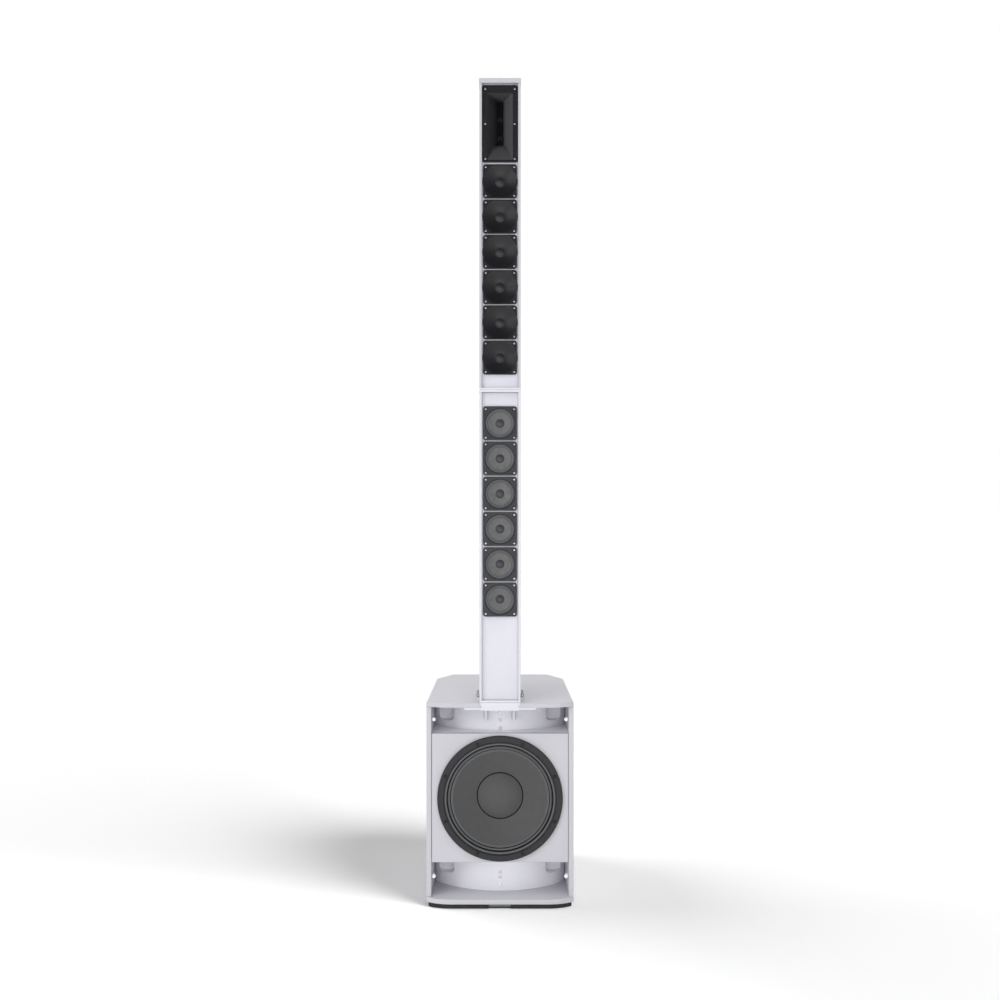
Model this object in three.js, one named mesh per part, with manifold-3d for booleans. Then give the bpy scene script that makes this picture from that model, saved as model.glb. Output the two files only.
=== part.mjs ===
// Column PA system: a ported subwoofer cabinet with a two-section line-array column
// standing on a dock at the front edge of its top panel.
// Millimetres. +Z is up, the front faces -Y, +X is to the right seen from the front.
// The origin is under the middle of the cabinet, on the floor.

import * as THREE from 'three';
import { ConvexGeometry } from 'three/addons/geometries/ConvexGeometry.js';
import { mergeVertices } from 'three/addons/utils/BufferGeometryUtils.js';
import Module from 'manifold-3d';

const wasm = await Module();
wasm.setup();

// ---------------------------------------------------------------- driving dimensions

const FIT = 0.3; // gap between pieces that touch
const RUNNING = 0.1; // radial clearance of a turning pin

// Cabinet
const CABINET_HALF_WIDTH = 183;
const CABINET_DEPTH = 508;
const CABINET_TOP = 510;
const PANEL = 12;
const FOOT_HEIGHT = 12; // from the floor to the bottom panel
const PAD_HEIGHT = 3;
const PAD_RADIUS = 20;
const BASE_INSET = 5;
const BASE_NOTCH_HALF = 28;
const FRONT_FLAT_HALF = 120; // the straight part of the front edge, seen from above
const FRONT_CORNER_RADIUS = 101;
const SIDE_START = 22; // the side walls start this far behind the front
const SIDE_END = 420;
const REAR_SIDE_HALF = 177.3; // half width at the rear end of the side walls
const REAR_FLAT_HALF = 136.5;
const REAR_WALL = 20;

// Woofer and baffle
const BAFFLE_BOTTOM = 109;
const BAFFLE_TOP = 430;
const BAFFLE_FRONT = 24;
const BAFFLE_THICKNESS = 18;
const WOOFER_HEIGHT = 269;
const WOOFER_FRONT = 16;
const WOOFER_RADIUS = 156;
const GASKET_RADIUS = 136.5;
const SURROUND_INNER = 120.3;
const CONE_RADIUS = 119.6;
const DUST_CAP_RADIUS = 57;
const DUST_CAP_BULGE = 13;
const COIL_RADIUS = 24;

// Bass ports
const PORT_WALL_RADIUS = 200;
const PORT_WALL_FRONT = 71;
const PORT_SKIN = 3;
const PORT_MOUTH_INNER = 117;
const PORT_MOUTH_OUTER = 156;
const PORT_DUCT_END = 150;
const PORT_OUTLET_START = 122;
const PORT_MOUTH_CORNER = 14;

// Column
const COLUMN_HALF_WIDTH = 51;
const COLUMN_FRONT = 3;
const COLUMN_BACK = 122;
const COLUMN_EDGE = 6; // width of the front edge of each side of the shell
const COLUMN_WALL = 3.5;
const COLUMN_BASE = 510.3;
const COLUMN_SEAM = 1284;
const COLUMN_TOP = 2054;
const FOOT_LIP = 5;
const SEAM_LIP = 6.5;
const TOP_CAP = 12;
const COLUMN_BAFFLE_FRONT = 12;
const COLUMN_BAFFLE_THICKNESS = 3;
const PLUG_DEPTH = 12;

// Small drivers
const DRIVER_COUNT = 6;
const DRIVER_PITCH = 87.3;
const DRIVER_HALF = 42;
const DRIVER_CORNER = 7.5;
const DRIVER_FRONT = 7.7;
const DRIVER_PLATE = 4;
const LOWER_TOP_DRIVER = 1201;
const UPPER_TOP_DRIVER = 1800;
const MIDRANGE_SURROUND_RADIUS = 34.5;
const MIDRANGE_CONE_RADIUS = 28.5;
const MIDRANGE_CAP_RADIUS = 10.5;
const BOWL_RADIUS = 43.5;
const BOWL_DOME_RADIUS = 11.75;

// Horn
const HORN_HALF_WIDTH = 44;
const HORN_BOTTOM = 1847;
const HORN_TOP = 2038;
const HORN_DEPTH = 44;
const HORN_SKIN = 3;
const HORN_MOUTH = { halfWidth: 31.6, bottom: 1851, top: 2017.5 };
const HORN_KNEE = { depth: 20, halfWidth: 25.5, bottom: 1875, top: 2013 };
const HORN_THROAT = { halfWidth: 8.5, bottom: 1899, top: 2009 };
const TWEETER_HEIGHTS = [1963, 1917];
const TWEETER_EXIT_RADIUS = 6;

// Dock and latches
const DOCK_FRONT = 2;
const DOCK_FRONT_HALF = 46;
const DOCK_WIDE_HALF = 61;
const DOCK_WIDE_AT = 96;
const DOCK_END = 136;
const DOCK_BOTTOM = 490;
const DOCK_FLOOR = 508;
const DOCK_RIM = 5;
const DOCK_RIB_X = 35;
const DOCK_RIB_HALF = 2.3;
const PEDESTAL_HALF = 40;
const LATCH_PIVOT_X = 56.5;
const LATCH_PIVOT_Z = 515.5;
const LATCH_BOSS_RADIUS = 4.6;
const LATCH_FRONT = 86;
const LATCH_THICKNESS = 6;
const LATCH_PIN_RADIUS = 1.6;

// Rear panel
const AMP_HALF_WIDTH = 120;
const AMP_BOTTOM = 130;
const AMP_TOP = 450;
const AMP_RABBET = 11; // depth of the recess around the plate
const AMP_PLATE = 3;
const JACK_X = 52;
const JACK_HEIGHT = 398;
const KNOB_HEIGHT = 344;
const KNOB_SPACING = 52;
const KNOB_RADIUS = 9;
const INLET_X = -70;
const SUPPLY_HEIGHT = 168;
const ROCKER_X = 0;

// Side handles
const HANDLE_AT = 235; // centre, behind the front
const HANDLE_HEIGHT = 330;
const HANDLE_HALF_LENGTH = 66;
const HANDLE_HALF_HEIGHT = 27;
const HANDLE_CORNER = 14;
const HANDLE_DEPTH = 44;
const HANDLE_FLANGE = 1.6;
const HANDLE_SKIN = 3;

// Sides of the round pieces
const WOOFER_SIDES = 32;
const DRIVER_SIDES = 16;
const SMALL_SIDES = 10;

// ---------------------------------------------------------------- materials

const paint = (color, roughness, metalness = 0) => ({ color, roughness, metalness });
const WHITE_PAINT = paint(0xe4e2ea, 0.55);
const WHITE_PLASTIC = paint(0xe7e5ee, 0.42);
const BLACK_PLASTIC = paint(0x15161a, 0.3);
const DRIVER_GREY = paint(0x484850, 0.5);
const CONE_GREY = paint(0x58585a, 0.75);
const SMALL_CONE_GREY = paint(0x6c6e6e, 0.75);
const RUBBER_GREY = paint(0x55565a, 0.6);
const FOOT_RUBBER = paint(0x26262a, 0.8);
const LATCH_GREY = paint(0x6d6e72, 0.5);
const STEEL = paint(0x8b8d90, 0.35, 0.9);
const DARK_METAL = paint(0x3a3b40, 0.5, 0.5);
const BOARD_GREEN = paint(0x1d5b3a, 0.6);

// ---------------------------------------------------------------- helpers

const FRONT = -CABINET_DEPTH / 2;
const behind = (depth) => FRONT + depth;

function solidOf(geometry) {
  geometry.deleteAttribute('normal');
  geometry.deleteAttribute('uv');
  const merged = mergeVertices(geometry, 1e-4);
  return new wasm.Manifold(new wasm.Mesh({
    numProp: 3,
    vertProperties: Float32Array.from(merged.attributes.position.array),
    triVerts: Uint32Array.from(merged.index.array),
  }));
}

function geometryOf(manifold) {
  const mesh = manifold.getMesh();
  const geometry = new THREE.BufferGeometry();
  geometry.setAttribute('position', new THREE.BufferAttribute(mesh.vertProperties, 3));
  geometry.setIndex(new THREE.BufferAttribute(mesh.triVerts, 1));
  return geometry;
}

function join(...geometries) {
  const solids = geometries.map(solidOf);
  return geometryOf(solids.reduce((whole, next) => whole.add(next)));
}

function cut(geometry, ...tools) {
  const start = solidOf(geometry);
  return geometryOf(tools.map(solidOf).reduce((whole, tool) => whole.subtract(tool), start));
}

function overlap(first, second) {
  return geometryOf(solidOf(first).intersect(solidOf(second)));
}

// A box between two x values, two depths behind the front, and two heights.
function box([x0, x1], [front, back], [bottom, top]) {
  const geometry = new THREE.BoxGeometry(x1 - x0, back - front, top - bottom);
  return geometry.translate((x0 + x1) / 2, behind((front + back) / 2), (bottom + top) / 2);
}

// A plan outline, given as [x, depth behind the front], raised between two heights.
function standing(shape, bottom, top, curveSegments = 8) {
  const options = { depth: top - bottom, bevelEnabled: false, curveSegments };
  return new THREE.ExtrudeGeometry(shape, options).translate(0, 0, bottom);
}

function planShape(points) {
  return new THREE.Shape(points.map(([x, depth]) => new THREE.Vector2(x, behind(depth))));
}

// An outline in the x-z plane, thickened between two depths behind the front.
function facing(shape, front, back, x = 0, z = 0, curveSegments = 4) {
  const options = { depth: back - front, bevelEnabled: false, curveSegments };
  const geometry = new THREE.ExtrudeGeometry(shape, options);
  return geometry.rotateX(Math.PI / 2).translate(x, behind(back), z);
}

// An outline in the depth-height plane, thickened along x.
function sideways(shape, x0, x1, curveSegments = 4) {
  const options = { depth: x1 - x0, bevelEnabled: false, curveSegments };
  const turn = new THREE.Matrix4().makeBasis(
    new THREE.Vector3(0, 1, 0),
    new THREE.Vector3(0, 0, 1),
    new THREE.Vector3(1, 0, 0),
  );
  return new THREE.ExtrudeGeometry(shape, options).applyMatrix4(turn).translate(x0, 0, 0);
}

// A solid of revolution about a line that runs from front to back.
// Its profile holds [radius, depth behind the front] and closes on itself or on the axis.
function turned(profile, x, z, segments) {
  const points = profile.map(([radius, depth]) => new THREE.Vector2(radius, depth));
  if (profile[0][0] > 0) {
    points.push(points[0].clone());
  }
  return new THREE.LatheGeometry(points, segments).translate(x, FRONT, z);
}

function rod(radius, front, back, x, z, segments = SMALL_SIDES) {
  return turned([[0, front], [radius, front], [radius, back], [0, back]], x, z, segments);
}

function roundedRectangle(halfWidth, halfHeight, radius) {
  const x = halfWidth - radius;
  const y = halfHeight - radius;
  const quarter = Math.PI / 2;
  const shape = new THREE.Shape();
  shape.absarc(x, y, radius, 0, quarter, false);
  shape.absarc(-x, y, radius, quarter, 2 * quarter, false);
  shape.absarc(-x, -y, radius, 2 * quarter, 3 * quarter, false);
  shape.absarc(x, -y, radius, 3 * quarter, 4 * quarter, false);
  shape.closePath();
  return shape;
}

// A solid that tapers from one upright rectangle to another further back.
function funnel(mouth, throat) {
  const corners = [];
  for (const { depth, halfWidth, bottom, top } of [mouth, throat]) {
    for (const x of [-halfWidth, halfWidth]) {
      corners.push(new THREE.Vector3(x, behind(depth), bottom));
      corners.push(new THREE.Vector3(x, behind(depth), top));
    }
  }
  return new ConvexGeometry(corners);
}

const group = new THREE.Group();

function addTo(parent, name, geometry, material) {
  const mesh = new THREE.Mesh(geometry, new THREE.MeshStandardMaterial(material));
  mesh.name = name;
  parent.add(mesh);
}

// ---------------------------------------------------------------- cabinet

const BOTTOM_PANEL_TOP = FOOT_HEIGHT + PANEL;
const TOP_PANEL_BOTTOM = CABINET_TOP - PANEL;
const WALL_BOTTOM = BOTTOM_PANEL_TOP + FIT;
const WALL_TOP = TOP_PANEL_BOTTOM - FIT;
const SIDE_TAPER = (CABINET_HALF_WIDTH - REAR_SIDE_HALF) / (SIDE_END - SIDE_START);
const outsideAt = (depth) => CABINET_HALF_WIDTH - (depth - SIDE_START) * SIDE_TAPER;
const insideAt = (depth) => outsideAt(depth) - PANEL;

// The outline of the top and bottom panels: a flat front with rounded corners,
// slightly tapered sides and slanted rear corners.
function cabinetOutline(inset = 0) {
  const radius = FRONT_CORNER_RADIUS - inset;
  const sweep = Math.asin((CABINET_HALF_WIDTH - inset - FRONT_FLAT_HALF) / radius);
  const down = -Math.PI / 2;
  const centre = behind(FRONT_CORNER_RADIUS);
  const rearSide = REAR_SIDE_HALF - inset;
  const rearFlat = REAR_FLAT_HALF - inset / 2;
  const outline = new THREE.Shape();
  outline.absarc(-FRONT_FLAT_HALF, centre, radius, down - sweep, down, false);
  outline.absarc(FRONT_FLAT_HALF, centre, radius, down, down + sweep, false);
  outline.lineTo(rearSide, behind(SIDE_END));
  outline.lineTo(rearFlat, behind(CABINET_DEPTH - inset));
  outline.lineTo(-rearFlat, behind(CABINET_DEPTH - inset));
  outline.lineTo(-rearSide, behind(SIDE_END));
  outline.closePath();
  return outline;
}

// The dock's outline from above, grown outwards by a margin.
function dockOutline(margin = 0, end = DOCK_END) {
  const half = DOCK_FRONT_HALF + margin;
  const wide = DOCK_WIDE_HALF + margin;
  return planShape([
    [-half, DOCK_FRONT - margin],
    [half, DOCK_FRONT - margin],
    [wide, DOCK_WIDE_AT],
    [half, end + margin],
    [-half, end + margin],
    [-wide, DOCK_WIDE_AT],
  ]);
}

function topPanel() {
  const panel = standing(cabinetOutline(), TOP_PANEL_BOTTOM, CABINET_TOP);
  const well = standing(dockOutline(FIT), TOP_PANEL_BOTTOM - 1, CABINET_TOP + 1);
  const notchHalf = DOCK_FRONT_HALF + FIT;
  const notch = box([-notchHalf, notchHalf], [-1, DOCK_FRONT + 1], [TOP_PANEL_BOTTOM - 1, CABINET_TOP + 1]);
  return cut(panel, well, notch);
}

// The handle pocket's outline, grown by a margin and reaching between two distances
// out from the right wall's outer face, square to that tapered wall.
function handleBlock(margin, inner, outer) {
  const outline = roundedRectangle(
    HANDLE_HALF_LENGTH + margin,
    HANDLE_HALF_HEIGHT + margin,
    HANDLE_CORNER + margin,
  );
  const block = sideways(outline, inner, outer, 3);
  block.rotateZ(Math.atan(SIDE_TAPER));
  return block.translate(outsideAt(HANDLE_AT), behind(HANDLE_AT), HANDLE_HEIGHT);
}

function rightWall() {
  const plan = planShape([
    [outsideAt(SIDE_START), SIDE_START],
    [outsideAt(SIDE_END), SIDE_END],
    [insideAt(SIDE_END), SIDE_END],
    [insideAt(SIDE_START), SIDE_START],
  ]);
  const wall = standing(plan, WALL_BOTTOM, WALL_TOP);
  return cut(wall, handleBlock(HANDLE_SKIN + FIT, -HANDLE_DEPTH, 5));
}

// A moulded pocket with a thin flange outside the wall.
function rightHandle() {
  const flange = handleBlock(8, FIT, FIT + HANDLE_FLANGE);
  const shell = handleBlock(HANDLE_SKIN, -HANDLE_DEPTH, FIT + HANDLE_FLANGE - 0.5);
  const pocket = handleBlock(0, -HANDLE_DEPTH + HANDLE_SKIN, 5);
  return cut(join(flange, shell), pocket);
}

function mirrored(geometry) {
  const flipped = geometry.clone().scale(-1, 1, 1);
  const index = Array.from((flipped.index ?? mergeVertices(flipped).index).array);
  for (let corner = 0; corner < index.length; corner += 3) {
    [index[corner], index[corner + 1]] = [index[corner + 1], index[corner]];
  }
  flipped.setIndex(index);
  return flipped;
}

function rearWall() {
  const start = SIDE_END + FIT;
  const inner = CABINET_DEPTH - REAR_WALL;
  const plan = planShape([
    [REAR_SIDE_HALF, start],
    [REAR_FLAT_HALF, CABINET_DEPTH],
    [-REAR_FLAT_HALF, CABINET_DEPTH],
    [-REAR_SIDE_HALF, start],
    [-insideAt(SIDE_END), start],
    [-REAR_FLAT_HALF + 6, inner],
    [REAR_FLAT_HALF - 6, inner],
    [insideAt(SIDE_END), start],
  ]);
  const wall = standing(plan, WALL_BOTTOM, WALL_TOP);
  const half = AMP_HALF_WIDTH + FIT;
  const recess = box(
    [-half, half],
    [CABINET_DEPTH - AMP_RABBET, CABINET_DEPTH + 1],
    [AMP_BOTTOM - FIT, AMP_TOP + FIT],
  );
  const ledge = 10;
  const through = box(
    [-half + ledge, half - ledge],
    [inner - 1, CABINET_DEPTH],
    [AMP_BOTTOM + ledge, AMP_TOP - ledge],
  );
  return cut(wall, recess, through);
}

function pad(x, depth) {
  const top = PAD_HEIGHT + 1;
  const profile = [[0, 0], [PAD_RADIUS - 2, 0], [PAD_RADIUS, 1.5], [PAD_RADIUS, top], [0, top]];
  const points = profile.map(([radius, height]) => new THREE.Vector2(radius, height));
  return new THREE.LatheGeometry(points, DRIVER_SIDES).rotateX(Math.PI / 2).translate(x, behind(depth), 0);
}

// A low black plinth inside the panel's outline, notched in front, on four round pads.
function cabinetBase() {
  const plinth = standing(cabinetOutline(BASE_INSET), PAD_HEIGHT, FOOT_HEIGHT - FIT);
  const notch = box([-BASE_NOTCH_HALF, BASE_NOTCH_HALF], [-1, 2 * BASE_INSET], [-1, FOOT_HEIGHT + 1]);
  const pads = [];
  for (const depth of [62, 446]) {
    pads.push(pad(-132, depth), pad(132, depth));
  }
  return join(cut(plinth, notch), ...pads);
}

const cabinet = new THREE.Group();
addTo(cabinet, 'cabinet_top_panel', topPanel(), WHITE_PAINT);
addTo(cabinet, 'cabinet_bottom_panel', standing(cabinetOutline(), FOOT_HEIGHT, BOTTOM_PANEL_TOP), WHITE_PAINT);
addTo(cabinet, 'cabinet_right_wall', rightWall(), WHITE_PAINT);
addTo(cabinet, 'cabinet_left_wall', mirrored(rightWall()), WHITE_PAINT);
addTo(cabinet, 'cabinet_rear_wall', rearWall(), WHITE_PAINT);
addTo(cabinet, 'side_handle_right', rightHandle(), BLACK_PLASTIC);
addTo(cabinet, 'side_handle_left', mirrored(rightHandle()), BLACK_PLASTIC);
addTo(cabinet, 'cabinet_base', cabinetBase(), FOOT_RUBBER);

// ---------------------------------------------------------------- woofer

function wooferBaffle() {
  const back = BAFFLE_FRONT + BAFFLE_THICKNESS;
  const half = insideAt(back) - FIT;
  const board = box([-half, half], [BAFFLE_FRONT, back], [BAFFLE_BOTTOM, BAFFLE_TOP]);
  return cut(board, rod(144, BAFFLE_FRONT - 1, back + 1, 0, WOOFER_HEIGHT, WOOFER_SIDES));
}

function wooferBasket() {
  const seat = BAFFLE_FRONT - FIT;
  const rim = turned([
    [GASKET_RADIUS, WOOFER_FRONT],
    [WOOFER_RADIUS - 1, WOOFER_FRONT],
    [WOOFER_RADIUS, WOOFER_FRONT + 1],
    [WOOFER_RADIUS, seat],
    [143, seat],
    [142.5, 31],
    [74, 112],
    [COIL_RADIUS + 1.5, 112],
    [COIL_RADIUS + 1.5, 108],
    [71, 108],
    [138.5, 30],
    [GASKET_RADIUS, 26],
  ], 0, WOOFER_HEIGHT, WOOFER_SIDES);
  const windows = [];
  for (let number = 0; number < 6; number += 1) {
    const window = new THREE.BoxGeometry(52, 56, 44).translate(0, behind(70), 108);
    window.rotateY((number / 6) * 2 * Math.PI);
    windows.push(window.translate(0, 0, WOOFER_HEIGHT));
  }
  return cut(rim, ...windows);
}

function wooferMagnet() {
  return turned([
    [0, 112 + FIT],
    [70, 112 + FIT],
    [70, 118],
    [88, 120],
    [88, 148],
    [70, 150],
    [70, 156],
    [0, 156],
  ], 0, WOOFER_HEIGHT, WOOFER_SIDES - 8);
}

// Two rolls, drawn as the front line of the profile and the same line further back.
function wooferSurround() {
  const front = [
    [SURROUND_INNER, 21.8],
    [126.6, 17.6],
    [130.8, 21],
    [134, 17.6],
    [GASKET_RADIUS - 0.4, 20.6],
  ];
  const back = front.map(([radius, depth]) => [radius, depth + 1.6]).reverse();
  return turned([...front, ...back], 0, WOOFER_HEIGHT, WOOFER_SIDES);
}

function wooferCone() {
  const capEdge = 50;
  const cap = [];
  for (const part of [0, 0.35, 0.7, 1]) {
    cap.push([DUST_CAP_RADIUS * part, capEdge - DUST_CAP_BULGE * (1 - part ** 2)]);
  }
  return turned([
    ...cap,
    [DUST_CAP_RADIUS + 1.5, capEdge + 1],
    [CONE_RADIUS - 4, 23.5],
    [CONE_RADIUS, 22],
    [CONE_RADIUS, 24],
    [DUST_CAP_RADIUS + 1.5, capEdge + 4],
    [COIL_RADIUS, 66],
    [COIL_RADIUS, 100],
    [COIL_RADIUS - 2, 100],
    [COIL_RADIUS - 2, 58],
    [0, 52],
  ], 0, WOOFER_HEIGHT, WOOFER_SIDES);
}

addTo(cabinet, 'woofer_baffle', wooferBaffle(), WHITE_PAINT);
addTo(cabinet, 'woofer_basket', wooferBasket(), DRIVER_GREY);
addTo(cabinet, 'woofer_magnet', wooferMagnet(), DARK_METAL);
addTo(cabinet, 'woofer_surround', wooferSurround(), RUBBER_GREY);
addTo(cabinet, 'woofer_cone', wooferCone(), CONE_GREY);

// ---------------------------------------------------------------- bass ports

// Adds the arc of the port chamber's curved rear wall to a plan shape.
// Each duct behind it is closed at the back and turns inwards.
function wallArc(shape, radius, clockwise) {
  const centre = behind(PORT_WALL_FRONT + PORT_WALL_RADIUS);
  const half = insideAt(150) - FIT;
  const sweep = Math.asin(half / radius);
  const down = -Math.PI / 2;
  const from = clockwise ? down + sweep : down - sweep;
  const to = clockwise ? down - sweep : down + sweep;
  shape.absarc(0, centre, radius, from, to, clockwise);
}

function portShroud(bottom, top, shelf, mouthBottom, mouthTop) {
  const start = BAFFLE_FRONT + BAFFLE_THICKNESS + FIT;
  const half = insideAt(start) - FIT;
  const chamber = new THREE.Shape();
  wallArc(chamber, PORT_WALL_RADIUS - PORT_SKIN, false);
  chamber.lineTo(half, behind(start));
  chamber.lineTo(-half, behind(start));
  chamber.closePath();
  const wallPlan = new THREE.Shape();
  wallArc(wallPlan, PORT_WALL_RADIUS, false);
  wallArc(wallPlan, PORT_WALL_RADIUS - PORT_SKIN, true);
  wallPlan.closePath();
  const air = new THREE.Shape();
  wallArc(air, PORT_WALL_RADIUS, false);
  air.lineTo(half + 20, behind(start - 5));
  air.lineTo(-half - 20, behind(start - 5));
  air.closePath();

  const tubes = [];
  const bores = [];
  const middle = (PORT_MOUTH_INNER + PORT_MOUTH_OUTER) / 2;
  const halfWidth = (PORT_MOUTH_OUTER - PORT_MOUTH_INNER) / 2;
  const height = (mouthBottom + mouthTop) / 2;
  const halfHeight = (mouthTop - mouthBottom) / 2;
  for (const side of [-1, 1]) {
    const bore = roundedRectangle(halfWidth, halfHeight, PORT_MOUTH_CORNER);
    const skin = roundedRectangle(
      halfWidth + PORT_SKIN,
      halfHeight + PORT_SKIN,
      PORT_MOUTH_CORNER + PORT_SKIN,
    );
    tubes.push(facing(skin, 100, PORT_DUCT_END, side * middle, height, 3));
    bores.push(facing(bore, 60, PORT_DUCT_END - PORT_SKIN, side * middle, height, 3));
    const outlet = [side * (PORT_MOUTH_INNER - 2 * PORT_SKIN), side * (PORT_MOUTH_INNER + PORT_SKIN)];
    bores.push(box(
      outlet.sort((a, b) => a - b),
      [PORT_OUTLET_START, PORT_DUCT_END - PORT_SKIN],
      [mouthBottom + PORT_MOUTH_CORNER, mouthTop - PORT_MOUTH_CORNER],
    ));
  }
  const [shelfBottom, shelfTop] = shelf;
  const behindWall = cut(join(...tubes), standing(air, bottom - 20, top + 20));
  const moulding = join(
    standing(wallPlan, bottom, top),
    standing(chamber, shelfBottom, shelfTop),
    behindWall,
  );
  return cut(moulding, ...bores);
}

// The shrouds' shelves lie flush with the baffle's upper and lower edges, behind it.
const UPPER_MOUTH = [446, 490];
const LOWER_MOUTH = [56, 98];
const upperShroud = portShroud(
  BAFFLE_TOP - PORT_SKIN,
  WALL_TOP - FIT,
  [BAFFLE_TOP - PORT_SKIN, BAFFLE_TOP],
  ...UPPER_MOUTH,
);
const lowerShroud = portShroud(
  WALL_BOTTOM,
  BAFFLE_BOTTOM + PORT_SKIN,
  [BAFFLE_BOTTOM, BAFFLE_BOTTOM + PORT_SKIN],
  ...LOWER_MOUTH,
);
addTo(cabinet, 'upper_port_shroud', upperShroud, WHITE_PLASTIC);
addTo(cabinet, 'lower_port_shroud', lowerShroud, WHITE_PLASTIC);

// ---------------------------------------------------------------- dock and latches

const SOCKET_HALF = 30;
const SOCKET_FRONT = 18;
const SOCKET_BACK = 64;
const EAR_FRONT = LATCH_FRONT + LATCH_THICKNESS + 0.6;

function latchEar(side) {
  const x = side * LATCH_PIVOT_X;
  const back = EAR_FRONT + 3;
  const plate = facing(roundedRectangle(3.9, 5, 2.5), EAR_FRONT, back, x, LATCH_PIVOT_Z - 0.5, 2);
  const root = box([x - 3.9, x + 3.9], [EAR_FRONT, back], [DOCK_FLOOR - 4, LATCH_PIVOT_Z - 2]);
  const pin = rod(LATCH_PIN_RADIUS, LATCH_FRONT - 0.8, EAR_FRONT + 1, x, LATCH_PIVOT_Z);
  return join(plate, root, pin);
}

// A hexagonal tray let into the top panel, with a shallow connector socket,
// a retaining strip under the panel's front edge and two stiffening ribs.
function columnDock() {
  const tray = standing(dockOutline(), TOP_PANEL_BOTTOM, CABINET_TOP);
  const well = standing(dockOutline(-DOCK_RIM), DOCK_FLOOR, CABINET_TOP + 1);
  const openFront = box([-DOCK_FRONT_HALF - 2, DOCK_FRONT_HALF + 2], [-1, 8], [DOCK_FLOOR, CABINET_TOP + 1]);
  const lowHalf = DOCK_FRONT_HALF;
  const block = box([-lowHalf, lowHalf], [DOCK_FRONT, 68], [DOCK_BOTTOM, TOP_PANEL_BOTTOM + 1]);
  const strip = box([-89, 89], [8, 30], [DOCK_BOTTOM + 2, TOP_PANEL_BOTTOM - FIT]);
  const ribs = [];
  for (const x of [-DOCK_RIB_X, DOCK_RIB_X]) {
    ribs.push(box([x - DOCK_RIB_HALF, x + DOCK_RIB_HALF], [46, 70], [456, DOCK_BOTTOM + 1]));
  }
  const body = join(tray, block, strip, ...ribs);
  const socket = box(
    [-SOCKET_HALF, SOCKET_HALF],
    [SOCKET_FRONT, SOCKET_BACK],
    [DOCK_FLOOR - PLUG_DEPTH - 2, DOCK_FLOOR + 1],
  );
  return join(cut(body, well, openFront, socket), latchEar(-1), latchEar(1));
}

// A lever on a round boss, with a thumb pad at the top, beside the column.
function latch(side) {
  const boss = new THREE.Shape();
  boss.absarc(0, 0, LATCH_BOSS_RADIUS, 0, 2 * Math.PI, false);
  const arm = new THREE.Shape();
  arm.moveTo(-4.2, 1);
  arm.lineTo(-2.1, 6);
  arm.lineTo(-2.8, 9);
  arm.lineTo(-2.3, 13);
  arm.lineTo(2.3, 13);
  arm.lineTo(2.8, 9);
  arm.lineTo(2.1, 6);
  arm.lineTo(4.2, 1);
  arm.closePath();
  const back = LATCH_FRONT + LATCH_THICKNESS;
  const x = side * LATCH_PIVOT_X;
  const lever = join(
    facing(boss, LATCH_FRONT, back, x, LATCH_PIVOT_Z, 6),
    facing(arm, LATCH_FRONT, back, x, LATCH_PIVOT_Z),
  );
  const hole = rod(LATCH_PIN_RADIUS + RUNNING, LATCH_FRONT - 2, back + 2, x, LATCH_PIVOT_Z);
  return cut(lever, hole);
}

addTo(cabinet, 'column_dock', columnDock(), WHITE_PLASTIC);
addTo(cabinet, 'column_latch_left', latch(-1), LATCH_GREY);
addTo(cabinet, 'column_latch_right', latch(1), LATCH_GREY);

// ---------------------------------------------------------------- rear panel

const PLATE_BACK = CABINET_DEPTH - AMP_RABBET + FIT + AMP_PLATE;
const PLATE_FRONT = PLATE_BACK - AMP_PLATE;
const KNOBS = [['channel_knob_left', -1], ['channel_knob_right', 0], ['subwoofer_knob', 1]];

function ampPlate() {
  const plate = box([-AMP_HALF_WIDTH, AMP_HALF_WIDTH], [PLATE_FRONT, PLATE_BACK], [AMP_BOTTOM, AMP_TOP]);
  const holes = [];
  for (const side of [-1, 1]) {
    holes.push(rod(12.6, PLATE_FRONT - 1, PLATE_BACK + 1, side * JACK_X, JACK_HEIGHT, DRIVER_SIDES));
  }
  for (const [, place] of KNOBS) {
    holes.push(rod(3.4, PLATE_FRONT - 1, PLATE_BACK + 1, place * KNOB_SPACING, KNOB_HEIGHT));
  }
  const inletHalf = 15 + FIT;
  const inletTop = SUPPLY_HEIGHT + 11 + FIT;
  holes.push(box(
    [INLET_X - inletHalf, INLET_X + inletHalf],
    [PLATE_FRONT - 1, PLATE_BACK + 1],
    [2 * SUPPLY_HEIGHT - inletTop, inletTop],
  ));
  holes.push(box(
    [ROCKER_X - 8, ROCKER_X + 8],
    [PLATE_FRONT - 1, PLATE_BACK + 1],
    [SUPPLY_HEIGHT - 13.5, SUPPLY_HEIGHT + 13.5],
  ));
  return cut(plate, ...holes);
}

// Upright fins on a thin base.
function ampHeatsink() {
  const base = PLATE_BACK + FIT;
  const fins = [box([-104, 104], [base, base + 2], [210, 300])];
  for (let x = -102.5; x <= 103; x += 12.8) {
    fins.push(box([x - 1, x + 1], [base + 1, CABINET_DEPTH - 0.4], [210, 300]));
  }
  return join(...fins);
}

function ampCircuitBoard() {
  const parts = [box([-100, 100], [462, 464], [150, 430])];
  parts.push(box([-80, -20], [430, 463], [180, 240]));
  parts.push(box([10, 80], [440, 463], [170, 190]));
  for (const x of [20, 48, 76]) {
    parts.push(rod(12, 424, 463, x, 225));
  }
  parts.push(box([-70, 70], [448, 463], [300, 320]));
  parts.push(box([-30, 30], [456, 463], [370, 400]));
  return join(...parts);
}

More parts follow.
